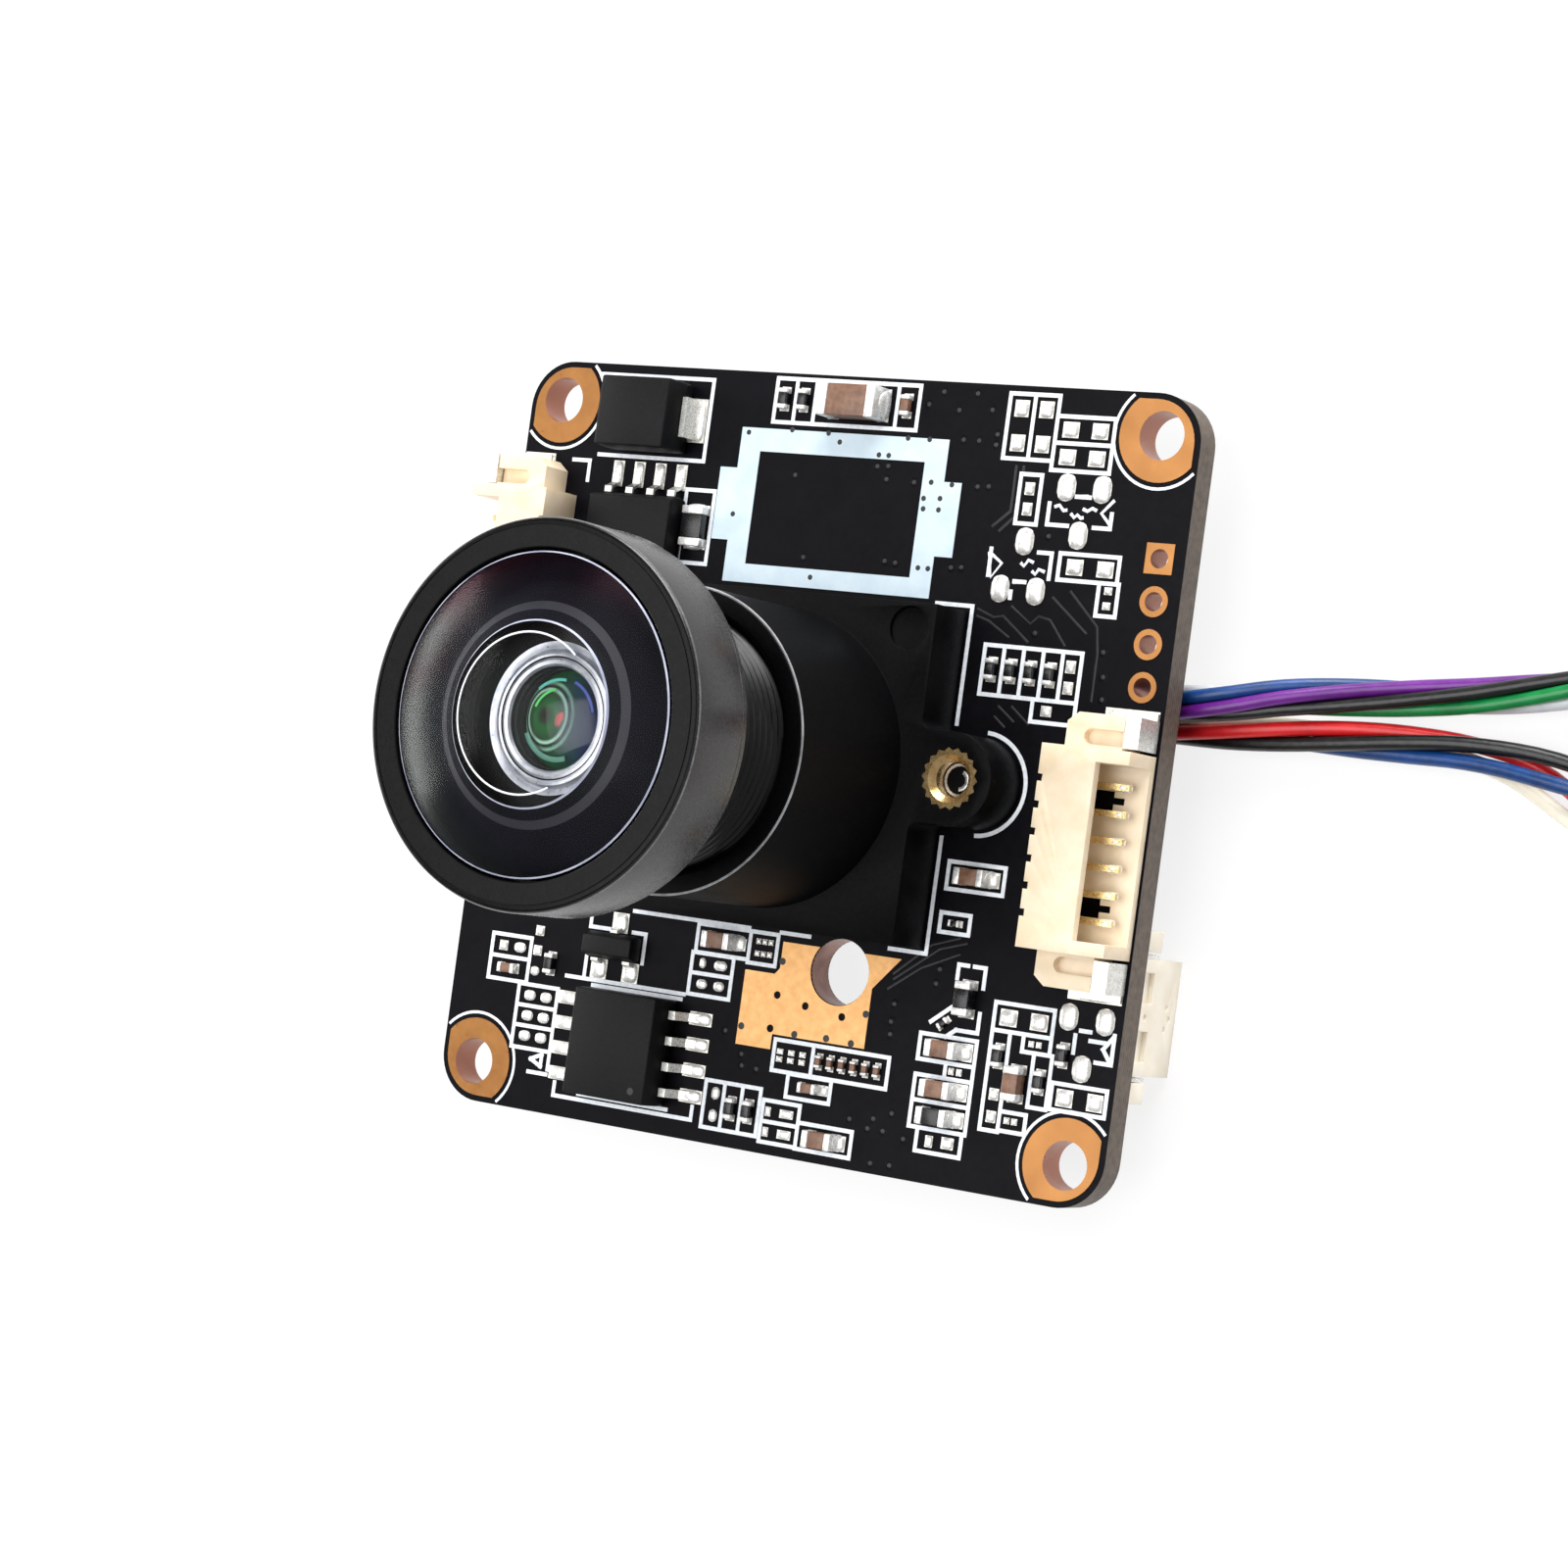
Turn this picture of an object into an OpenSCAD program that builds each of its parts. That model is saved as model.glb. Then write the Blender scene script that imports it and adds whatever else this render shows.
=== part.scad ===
// Board camera: a square circuit board carrying an M12 wide-angle lens in a
// two-eared holder, with its connectors, components and two wire bundles.
// Millimetres. The origin is the centre of the four mounting holes on the
// board's front face, +Z runs along the lens axis, +Y towards the diode.

/* [Board] */
// Side of the square circuit board
board_side = 38; // [38:0.5:42]
// Thickness of the finished board
board_t = 1.6; // [1.2:0.1:2]
// Radius of the board's corners
board_corner_r = 2.4; // [1.5:0.1:2.8]
// Distance from a mounting hole's centre to the board's edges
hole_edge = 2; // [1.9:0.05:2.2]
// Diameter of a mounting hole, inside its plating
hole_d = 2.3; // [2:0.1:2.6]
// Diameter of the plated ring round a mounting hole
ring_d = 4.4; // [3.8:0.1:4.6]
// Bare strip between a plated ring and the board's edge
edge_gap = 0.3; // [0.2:0.05:0.5]
// Diameter of the large hole in the ground pad
vent_d = 3.2; // [2.4:0.1:3.3]
// Height of the tinned pads above the board
pad_t = 0.05; // [0.03:0.01:0.1]
// Height of the white print above the board
print_t = 0.03; // [0.02:0.01:0.05]
// Width of a printed line
line_w = 0.2; // [0.15:0.01:0.25]
// Distance between the holes of the four-pin header row
header_pitch = 2; // [1.6:0.1:2]
// Diameter of a hole in the header row, inside its plating
header_hole_d = 0.9; // [0.7:0.05:1]

/* [Lens holder] */
// Side of the holder's square base plate
holder_side = 16.1; // [15.6:0.1:16.2]
// Thickness of the base plate
plate_t = 3; // [2.6:0.1:3.6]
// Height of the holder's tube above the board
holder_h = 11.9; // [9:0.1:13]
// Outside diameter of the tube
tube_d = 14.4; // [13.8:0.1:15]
// Distance between the two screw ears
ear_pitch = 19.8; // [19.4:0.1:20]
// Width of an ear, the diameter of its round end
ear_w = 4.4; // [3.8:0.1:4.6]
// Outside diameter of a brass insert over its knurl
insert_d = 2.96; // [2.6:0.02:3.2]
// Number of teeth in the knurl of an insert
insert_teeth = 18; // [12:1:24]
// Shank diameter of a holder screw
screw_d = 1.6; // [1.4:0.1:1.8]
// Length of a holder screw under its head
screw_l = 3.6; // [3.2:0.1:4]

/* [Lens] */
// Height of the lens head's front face above the board
lens_front_z = 22.9; // [21.5:0.1:24]
// Outside diameter of the lens head
head_d = 17.34; // [16.8:0.02:18]
// Length of the head's widest band
head_band = 3.6; // [3.2:0.1:4.2]
// Outside diameter of the barrel's focusing thread
thread_d = 12; // [11.6:0.1:12.2]
// Radial clearance between the thread and the holder's bore
thread_gap = 0.05; // [0.02:0.01:0.09]
// Height of the barrel's rear end above the board
barrel_rear_z = 5; // [4.6:0.1:6]
// Diameter of the front element
front_glass_d = 14; // [13.6:0.1:14.4]
// Radius of curvature of the front element's outer face
front_glass_r = 11.7; // [10.5:0.1:14]
// Diameter of the aperture
aperture_d = 2.6; // [1.8:0.1:3.2]

/* [Connectors] */
// Distance between the pins of every connector
pin_pitch = 1.25; // [1.2:0.01:1.27]
// Thickness of a connector pin
pin_t = 0.3; // [0.24:0.02:0.34]
// Length of a side-entry socket from rear to mouth
socket_l = 4.55; // [4.3:0.05:4.8]
// Height of a side-entry socket
socket_h = 2.7; // [2.5:0.05:3]
// Thickness of a socket's side walls
socket_wall = 0.62; // [0.5:0.02:0.7]
// Height of the two upright headers on the rear, on which the board lies
header_h = 4.2; // [3.8:0.1:4.6]

/* [Wiring] */
// Diameter of a wire bundle
bundle_d = 1.8; // [1.5:0.1:1.8]
// Radius of a coil at the middle of its turns
coil_r = 10; // [9:0.5:11]

/* [Hidden] */
$fn = 64;
eps = 0.01;

// board and its layers
mask_t = 0.03;
plating_t = 0.05;
rear_z = -board_t;
floor_z = rear_z - header_h;
half = board_side / 2;
corner = half - hole_edge;
// The placements below are drawn for a 38 mm board. On a larger one, what stands
// clear of the holder keeps its distance from the nearest edge.
edge_shift = (board_side - 38) / 2;
rim_zone = holder_side / 2 + 0.25;
vent_at = [3.7, -9.75];
header_edge = 1.3;
header_top_y = 11.3;
header_holes = [for (i = [0:3]) [half - header_edge, rim(header_top_y) - i * header_pitch]];
header_ring = 0.27;
ear_hole_d = screw_d + 0.7;
ground_corners = [
    [0.35, -8.7], [7, -8.7], [5.6, -10.3], [5.6, -13.2], [0.4, -13.2], [0.4, -13.95],
    [-1.6, -13.95], [-1.6, -10.3], [0.1, -10.3], [0.35, -10]
];
ground_vias = [[0.4, -11.3], [2.05, -11.62], [4.15, -11.86], [0.25, -12.95]];
ground_via_d = 0.38;

// holder
ear_x = ear_pitch / 2;
holder_bore_d = thread_d + 2 * thread_gap;
cavity_side = 12;
cavity_h = 2.2;
septum_t = 0.8;
septum_hole_d = 8.4;
insert_h = 2.4;
insert_bore_d = screw_d + 0.1;
insert_z = plate_t - insert_h;
knurl_depth = 0.16;
seat_gap = 0.02;
fillet_r = 0.5;
dimple_d = 2.1;
dimple_deep = 0.25;
dimple_at = [6.7, 6.8];

// sensor and filter
sensor_size = [9.2, 7.8, 0.95];
sensor_glass_size = [8.4, 7, 0.4];
filter_size = [9, 9, 0.3];
bond_gap = 0.03;

// lens, heights measured from the head's front face downwards
groove_d = head_d - 0.74;
collar_d = head_d - 0.34;
collar_l = 1.15;
head_rear_z = lens_front_z - head_band - collar_l;
boss_d = thread_d + 2.6;
boss_l = 1.3;
spigot_d = thread_d - 1;
turn_gap = 0.05;
shoulder_z = head_rear_z - boss_l - 0.1;
spigot_top_z = lens_front_z - 2.7;
cell_bore_d = 9.2;
mouth_d = 9.5;
mouth_z = barrel_rear_z + 1.6;
cell_step_z = lens_front_z - 4.6;
spacer_seat_z = lens_front_z - 3.72;
spacer_top_z = lens_front_z - 2.3;
spacer_bore_d = 6.2;
third_step_z = lens_front_z - 6.4;
stop_step_z = lens_front_z - 7.6;
rear_step_z = lens_front_z - 10.9;
rim_flat = 1.02;
glass_depth = 1.4;
glass_seat_r = front_glass_d / 2 + 0.15;
glass_inner_d = 10;
glass_inner_r = 7.6;
glass_edge = glass_depth - 0.1;
second_d = 7.6;
second_edge = 0.9;
second_r = 9;
second_inner_d = 5.6;
second_inner_r = 4.2;
third_d = 6.8;
third_edge = 1.2;
third_r = 5.2;
stop_t = 0.2;
doublet_d = 6.4;
doublet_edge = 1.6;
doublet_r = 6.5;
rear_glass_d = 7.6;
rear_glass_t = 2.2;
rear_glass_r = 20;
rear_glass_z = rear_step_z - 0.12 - rear_glass_t;
retainer_bore_d = 6.2;

// side-entry sockets
socket_end = 3.2;
wing_l = 1.63;
wing_h = 1.9;
wing_rear = 0.75;
wing_front = 3.7;
wing_slot = 0.75;
clip_t = 0.75;
clip_l = 2.7;
clip_w = 0.32;
socket_floor = 0.45;
socket_roof = 0.5;
roof_l = 2.85;
socket_back = 1;
pin_z = 1.2;
pin_reach = 4.05;
leg_t = 0.22;
foot_l = 1.1;
foot_t = 0.2;
front_pins = 6;
left_pins = 4;
tail_pins = 9;
front_socket_at = [half - 4.65, -2.56];
left_socket_at = [3.6 - half, rim(8.68)];
tail_socket_at = [-6.5, 4.4];

// upright rear headers
header_pins = 3;
header_w = 3.2;
header_end = 3;
header_wall = 0.55;
header_floor = 0.9;
header_wing_w = 1.7;
header_wing_l = 1.3;
header_wing_z = 0.3;
header_wing_h = 1.85;
header_tip = 0.9;
nail_gap = 0.3;
nail_t = 0.14;
nail_w = 0.9;
header_inset = 0.2;
right_header_at = [half - header_inset - header_w / 2, rim(-9.8)];
left_header_at = [header_inset + header_w / 2 - half, 7];

// wire bundles: far-end plugs and routes, laid on the surface at floor_z
plug_l = 4.6;
plug_h = 2;
network_wires = 5;
power_wires = 4;
network_coil_at = [49.5, 20];
power_coil_at = [53.5, -12];
network_route = [
    [-1.2, 6.9, -2.9], [2, 6.9, -2.9], [5, 6.6, -2.95], [9, 5.85, -3.1], [13, 5.2, -3.25],
    [17, 4.9, -3.3], [20, 5.15, -3.35], [23, 5.7, -3.9], [26, 6.1, -4.6], [29, 6.4, -4.88],
    [32, 6.7, -4.9], [35, 7.2, -4.9], [38.5, 7.9, -4.9], [42, 8.6, -4.9], [45.2, 9, -4.9]
];
power_route = [
    [-1.2, 1.3, -2.9], [2, 1.3, -2.9], [5, 1.7, -3.4], [9, 2.9, -4.3], [13, 3.6, -4.8],
    [17, 3.9, -4.9], [20, 4, -4.9], [23, 4.1, -4.9], [26, 4.2, -4.9], [29, 4.25, -4.9],
    [32, 4.15, -4.9], [35, 3.6, -4.9], [38.5, 2.3, -4.9], [42, 0.7, -4.9], [45.5, -0.5, -4.9],
    [49.2, -1, -4.9]
];
network_end = [[53.8, 9, -3.2], [56, 8.8, -3.5], [58.5, 8.5, -4.3], [61, 8.3, -4.85], [63.5, 8.3, -4.85]];
power_end = [[57.8, -1, -3.2], [60, -0.9, -3.5], [62.5, -0.6, -4.3], [65, -0.3, -4.85], [67.5, -0.3, -4.85]];

// chip sizes: length, width, height, length of a metal end
chip_0201 = [0.6, 0.32, 0.26, 0.15];
chip_0402 = [1, 0.5, 0.4, 0.22];
chip_0603 = [1.6, 0.82, 0.8, 0.35];
chip_0805 = [2, 1.25, 0.6, 0.4];
chip_1206 = [3.2, 1.6, 1.4, 0.5];

// chips on the front: x, y, quarter turns, size
capacitors = [
    [0.55, 17.65, 0, chip_1206], [3.25, 17.7, 1, chip_0402],
    [10.35, -4.42, 0, chip_0603], [-3.1, -9.1, 0, chip_0603],
    [10.05, -12.6, 0, chip_0603], [10.05, -14.5, 0, chip_0603],
    [13.98, -13.65, 1, chip_0603], [4.05, -17.85, 0, chip_0603],
    [2.9, -15.5, 0, chip_0402], [-15.6, -12.05, 0, chip_0402],
    [3.25, -14.15, 1, chip_0201], [3.9, -14.15, 1, chip_0201], [4.55, -14.15, 1, chip_0201],
    [5.2, -14.15, 1, chip_0201], [5.85, -14.15, 1, chip_0201], [6.5, -14.15, 1, chip_0201]
];
resistors = [
    [-3.72, 17.7, 1, chip_0402], [-2.62, 17.7, 1, chip_0402],
    [9.75, 5.45, 1, chip_0402], [10.8, 5.45, 1, chip_0402],
    [11.85, 5.45, 1, chip_0402], [12.9, 5.45, 1, chip_0402],
    [-7.9, 11.05, 1, chip_0805], [10.85, -10.1, 1, chip_0603],
    [10.05, -15.8, 0, chip_0603], [12.85, -12.5, 1, chip_0402],
    [15.15, -13.4, 1, chip_0402], [16.2, -12, 1, chip_0402],
    [-1.35, -17.1, 1, chip_0402], [-0.35, -17.1, 1, chip_0402],
    [-13.05, -11.5, 1, chip_0402], [9.62, -6.68, 0, chip_0201],
    [9.72, -11.4, 0.5, chip_0201]
];
// chips on the rear
rear_capacitors = [
    [-14, -9, 1, chip_0603], [-14, -12.4, 1, chip_0603], [-7.5, -17.6, 0, chip_0603],
    [4.6, -13.6, 1, chip_0603], [11.2, -6, 0, chip_0805], [-12, 13.2, 0, chip_1206]
];
rear_resistors = [
    [0.4, -8.6, 0, chip_0402], [0.4, -11.2, 0, chip_0402], [-3.2, -17.7, 0, chip_0402],
    [2.6, 14.6, 1, chip_0402], [4.2, 14.6, 1, chip_0402], [5.8, 14.6, 1, chip_0402]
];

// gull-wing packages: x, y, quarter turns, [body along pins, body across, height, lead span]
soic_narrow = [4.9, 3.9, 1.5, 6];
soic_wide = [5.25, 5.2, 1.9, 7.9];
sot_small = [2.9, 1.3, 1.1, 2.4];
driver_at = [-11.15, 10.45];
flash_at = [-7.72, -14.96];
transistor_at = [-9.22, -10.17];
lead_pitch = 1.27;
sot_pitch = 0.95;
lead_t = 0.15;
lead_w = 0.42;
diode_at = [-11.2, 16.35];
diode_size = [4.4, 3.5, 2.3];
soc_at = [-7.5, -11];
soc_side = 9;
soc_h = 0.9;
crystal_at = [1.6, -15.6];
crystal_size = [3.2, 2.5, 0.8];
frame_at = [-0.1, 12.36];
frame_size = [11.8, 7.68];
frame_window = [9.4, 5.6];
frame_band_gap = -0.11;
frame_tab = [0.98, 3.6];
coils_at = [[5.6, -4.7], [9.8, -13.4]];
inductor_side = 4;
inductor_h = 2;

// bare tinned pads: x, y, width, height
square_pads = [
    [9.5, 17.9, 0.75, 0.8], [9.5, 16.25, 0.75, 0.8], [10.83, 17.9, 0.75, 0.8], [10.83, 16.25, 0.75, 0.8],
    [12.25, 17.02, 0.85, 0.75], [13.8, 17.02, 0.85, 0.75], [12.25, 15.72, 0.85, 0.75],
    [13.8, 15.72, 0.85, 0.75], [10.48, 14.12, 0.5, 0.6], [10.48, 13.15, 0.5, 0.6],
    [13.4, 10.58, 0.85, 0.75], [15, 10.58, 0.85, 0.75], [15.3, 9.6, 0.4, 0.35], [15.3, 8.9, 0.4, 0.35],
    [13.88, 5.92, 0.5, 0.6], [13.88, 4.92, 0.5, 0.6], [12.9, 3.74, 0.55, 0.5],
    [11.42, -4.42, 0.5, 0.75], [-2.02, -9.15, 0.5, 0.6], [11.2, -12.6, 0.5, 0.85],
    [11.2, -14.5, 0.5, 0.8], [11.2, -15.8, 0.5, 0.75], [9.75, -17, 0.4, 0.55], [10.75, -16.95, 0.65, 0.55],
    [13.1, -10.68, 0.9, 0.78], [14.72, -10.68, 0.9, 0.78], [12.85, -14.3, 0.5, 0.55],
    [12.85, -15.35, 0.5, 0.55], [16.52, -13.95, 0.85, 0.8], [18.1, -13.95, 0.8, 0.8],
    [5.05, -17.85, 0.42, 0.75], [0.75, -16.93, 0.3, 0.45], [1.8, -16.93, 0.75, 0.4],
    [0.75, -17.92, 0.3, 0.45], [1.8, -17.92, 0.75, 0.42], [3.72, -15.5, 0.4, 0.5]
];
oval_pads = [
    [12.42, 14.3, 0.95, 1.3], [14.3, 14.3, 0.95, 1.3], [13.35, 12.08, 0.95, 1.3],
    [10.58, 11.62, 0.95, 1.3], [9.6, 9.3, 0.95, 1.3], [11.5, 9.3, 0.95, 1.3],
    [16.2, -10.2, 0.95, 1.25], [18.1, -10.2, 0.95, 1.25], [17.2, -12.5, 0.95, 1.25],
    [-4.1, -10.32, 0.35, 0.5], [-3.05, -10.34, 0.75, 0.45], [-4, -11.35, 0.6, 0.45], [-3, -11.35, 0.6, 0.45],
    [-2.35, -16.5, 0.45, 0.6], [-2.35, -17.6, 0.45, 0.6],
    [-16.12, -10.95, 0.5, 0.5], [-15.1, -10.95, 0.7, 0.5], [-14, -9.95, 0.5, 0.5],
    [-14, -10.95, 0.5, 0.5], [-14, -12, 0.5, 0.45], [-14.1, -13.25, 0.68, 0.5], [-13.1, -13.25, 0.68, 0.5],
    [-14.1, -14.28, 0.68, 0.5], [-13.1, -14.28, 0.68, 0.5], [-14.1, -15.3, 0.68, 0.5],
    [-13.1, -15.3, 0.68, 0.5]
];
dot_pads = concat(
    [for (x = [-1.06, -0.7, -0.35]) for (y = [-8.85, -9.45]) [x, y, 0.26, 0.26]],
    [for (x = [0.98, 1.62, 2.26]) for (y = [-13.97, -14.34]) [x, y, 0.34, 0.26]],
    [for (x = [10.44, 10.86]) [x, -13.58, 0.28, 0.32]],
    [for (x = [14.45, 14.85]) [x, -11.72, 0.28, 0.28]],
    [for (x = [13.7, 14.1]) [x, -15.42, 0.3, 0.3]]
);

// printed boxes: left, right, bottom, top edges
printed_boxes = [
    [-4.3, -3.15, 16.55, 18.72], [-3.15, -2.02, 16.55, 18.72], [-2.02, 2.65, 16.55, 18.72],
    [2.65, 3.85, 16.55, 18.72], [8.8, 10.15, 15.5, 18.6], [10.15, 11.45, 15.5, 18.6],
    [11.45, 14.52, 16.38, 17.65], [11.45, 14.52, 15.08, 16.38], [9.92, 11.04, 12.45, 14.8],
    [12.55, 15.68, 9.95, 11.2], [14.78, 15.8, 8.42, 9.95],
    [9.22, 10.27, 4.25, 6.6], [10.27, 11.32, 4.25, 6.6], [11.32, 12.37, 4.25, 6.6],
    [12.37, 13.4, 4.25, 6.6], [13.4, 14.4, 4.25, 6.6], [12.12, 14.4, 3.2, 4.25],
    [8.85, 11.9, -5.08, -3.78], [8.78, 10.38, -7.14, -6.22],
    [8.55, 11.6, -13.22, -12], [10.1, 11.6, -13.95, -13.22], [8.55, 11.6, -15.15, -13.95],
    [8.55, 11.6, -16.42, -15.15], [9.05, 11.45, -17.52, -16.42],
    [12.32, 15.45, -11.32, -10.02], [12.32, 13.28, -16, -11.32], [14, 15.45, -12.12, -11.32],
    [14.66, 15.62, -14.62, -12.12], [13.28, 14.66, -15.92, -15.02], [15.8, 18.65, -14.55, -13.32],
    [-4.62, -1.56, -9.82, -8.42], [-1.56, 0.02, -9.95, -8.42], [-4.75, -2.35, -10.84, -9.84],
    [-4.75, -2.35, -11.9, -10.84], [0.62, 2.82, -14.92, -13.42], [2.82, 7.04, -14.92, -13.42],
    [1.6, 4.04, -16.08, -14.96], [-2.98, -1.88, -18.22, -15.92], [-1.88, -0.84, -18.22, -15.92],
    [-0.84, 0.2, -18.22, -15.92], [0.42, 2.5, -17.42, -16.4], [0.42, 2.5, -18.42, -17.42],
    [2.5, 5.55, -18.46, -17.2], [-8.8, -7.12, 9.25, 12.9],
    [-16.85, -14.45, -11.5, -10.4], [-16.85, -14.45, -12.66, -11.5],
    [-14.85, -12.45, -13.78, -12.72], [-14.85, -12.45, -14.8, -13.78], [-14.85, -12.45, -15.92, -14.8]
];
// printed lines: start x, start y, end x, end y
printed_lines = [
    [-14.8, 18.45, -8.05, 18.45], [-8.05, 18.45, -8.05, 14.35], [-8.05, 14.35, -14.4, 14.35],
    [-15.9, 14, -14.9, 14], [-14.9, 14, -14.9, 13], [6.3, 8.35, 8.25, 8.35], [8.25, 8.35, 8.25, 2.72],
    [8.25, -2.72, 8.25, -8.28], [8.25, -8.28, 6.25, -8.28], [-8.5, -8.28, -1.7, -8.28],
    [0.15, -8.28, 1.75, -8.28], [-12.05, -11.98, -4.95, -11.98], [-11.9, -17.35, -11.9, -18],
    [-11.9, -18, -3.6, -18], [-3.6, -18, -3.6, -17.35], [-10.4, -12.24, -5.1, -12.24],
    [-10.4, -17.72, -5.1, -17.72], [-8.4, -9.35, -7.65, -9.35], [-7.65, -9.35, -7.65, -10.8],
    [-11, -9.35, -9.85, -9.35], [-11, -9.35, -11, -8.95], [-11, -11.9, -11, -10.8],
    [11.62, 12.5, 11.62, 13.5], [11.62, 12.5, 12.7, 12.5], [14.1, 12.5, 14.95, 12.5],
    [14.95, 12.5, 14.95, 13.2], [13, 13.9, 13.7, 13.9], [8.85, 9.9, 8.85, 11.15],
    [12.1, 9.95, 12.1, 11.15], [11.4, 11.15, 12.1, 11.15], [10.3, 9.7, 10.85, 9.7],
    [10.18, 8.9, 10.18, 9.2], [10.1, -8.55, 10.6, -8.55], [10.1, -8.55, 10.1, -9.2],
    [10.95, -8.55, 11.55, -8.55], [11.55, -8.55, 11.55, -9.5], [11.55, -10.7, 11.55, -11.62],
    [11.55, -11.62, 10.4, -11.62], [9, -11.4, 10, -10.6], [10.4, -11.62, 9.9, -12],
    [16.9, -10.75, 17.4, -10.75], [16.65, -11, 16.65, -11.8], [17.45, -11.15, 18.2, -11.15],
    [18.65, -10.75, 18.65, -12.1], [18.65, -12.1, 17.85, -12.1], [18.6, -10.85, 18.15, -11.45],
    [18.15, -11.45, 18.6, -12.05], [-12.45, -16, -12.45, -16.8], [-13.6, -17.05, -12.5, -17.05],
    [-13.55, -16.4, -12.9, -16.1], [-12.9, -16.1, -12.9, -16.7], [-12.9, -16.7, -13.55, -16.4]
];

// ---------------------------------------------------------------- placing

// A coordinate on the board, moved out with the edge if it lies clear of the holder.
function rim(v) = abs(v) > rim_zone ? v + sign(v) * edge_shift : v;
function rim_spot(p) = [rim(p[0]), rim(p[1])];

module at(spot) translate([rim(spot[0]), rim(spot[1]), 0]) children();

module corners()
    for (sx = [-1, 1]) for (sy = [-1, 1]) translate([sx * corner, sy * corner, 0]) children();

module on_rear() translate([0, 0, rear_z]) mirror([0, 0, 1]) children();

module block(size, z = 0) translate([-size[0] / 2, -size[1] / 2, z]) cube(size);

// An outline in X and Z, drawn out along Y to a width.
module across(width) translate([0, width / 2, 0]) rotate([90, 0, 0]) linear_extrude(width) children();

// ---------------------------------------------------------------- board

module board_outline(inset = 0) {
    r = board_corner_r - inset;
    s = half - inset - r;
    union() {
        square([2 * (s + r), 2 * s], center = true);
        square([2 * s, 2 * (s + r)], center = true);
        for (sx = [-1, 1]) for (sy = [-1, 1]) translate([sx * s, sy * s]) circle(r);
    }
}

module board_holes(z, h, grow) {
    corners() translate([0, 0, z]) cylinder(h = h, d = hole_d + 2 * plating_t + grow);
    at(vent_at) translate([0, 0, z]) cylinder(h = h, d = vent_d);
    for (s = [-1, 1]) translate([s * ear_x, 0, z]) cylinder(h = h, d = ear_hole_d);
    for (p = header_holes) translate([p[0], p[1], z])
        cylinder(h = h, d = header_hole_d + 2 * plating_t + grow);
}

module board_layer(z, t) difference() {
    translate([0, 0, z]) linear_extrude(t) board_outline();
    board_holes(z - 1, t + 2, 2 * seat_gap);
}

module board_laminate() color("#6b5d4b") board_layer(rear_z + mask_t, board_t - 2 * mask_t);

module solder_mask() color("#1d1d20") {
    board_layer(-mask_t, mask_t);
    board_layer(rear_z, mask_t);
}

// One plated hole: a sleeve through the board with a ring on each face.
module eyelet(bore, ring, square_ring = false) difference() {
    union() {
        translate([0, 0, rear_z]) cylinder(h = board_t, d = bore + 2 * plating_t);
        for (z = [0, rear_z - pad_t])
            translate([0, 0, z])
                if (square_ring) translate([-ring / 2, -ring / 2, 0]) cube([ring, ring, pad_t]);
                else cylinder(h = pad_t, d = ring);
    }
    translate([0, 0, rear_z - 1]) cylinder(h = board_t + 2, d = bore);
}

module corner_rings() color("#d9963f") intersection() {
    corners() eyelet(hole_d, ring_d);
    translate([0, 0, rear_z - 1]) linear_extrude(board_t + 2) board_outline(edge_gap);
}

module header_eyelets() color("#dba85a")
    for (i = [0:3]) translate([header_holes[i][0], header_holes[i][1], 0])
        eyelet(header_hole_d, header_hole_d + 2 * header_ring, i == 0);

module ground_pad() color("#e8b266") difference() {
    linear_extrude(pad_t) polygon([for (p = ground_corners) rim_spot(p)]);
    at(vent_at) translate([0, 0, -1]) cylinder(h = 2, d = vent_d + 0.06);
    for (p = ground_vias) at(p) translate([0, 0, -1]) cylinder(h = 2, d = ground_via_d);
}

module pad_plate(p) at(p) block([p[2], p[3], pad_t]);

module pad_oval(p) at(p) {
    r = min(p[2], p[3]) / 2;
    dx = p[2] / 2 - r;
    dy = p[3] / 2 - r;
    block([2 * dx + (dx > 0 ? 0 : 2 * r), 2 * dy + (dy > 0 ? 0 : 2 * r), pad_t]);
    for (s = [-1, 1]) translate([s * dx, s * dy, 0]) cylinder(h = pad_t, r = r);
}

// The pad under each end of a chip.
module chip_pads(list) for (c = list) at(c) rotate(90 * c[2]) for (s = [-1, 1])
    translate([s * (c[3][0] / 2 - c[3][3] / 2 + 0.05), 0, 0]) block([c[3][3] + 0.1, c[3][1], pad_t]);

module package_pads(spot, turn, package, spots, pad) at(spot) rotate(90 * turn) for (p = spots)
    translate([p[0], p[1] * package[3] / 2, 0]) block([pad[0], pad[1], pad_t]);

module socket_pads(n) {
    for (i = [0:n - 1]) translate([-0.4, pin_y(i, n), 0]) block([1.5, 0.6, pad_t]);
    for (s = [-1, 1]) translate([3.05, s * (body_len(n) / 2 + wing_l - 0.13), 0]) block([2.8, 1.15, pad_t]);
}

module header_pads(n) {
    for (i = [0:n - 1]) translate([header_w / 2 + 0.2, pin_y(i, n), 0]) block([1.2, 0.6, pad_t]);
    for (s = [-1, 1]) translate([-header_w / 2 + 0.55, s * (header_len(n) + header_wing_l) / 2, 0])
        block([1.1, header_wing_l + 0.1, pad_t]);
}

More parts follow.
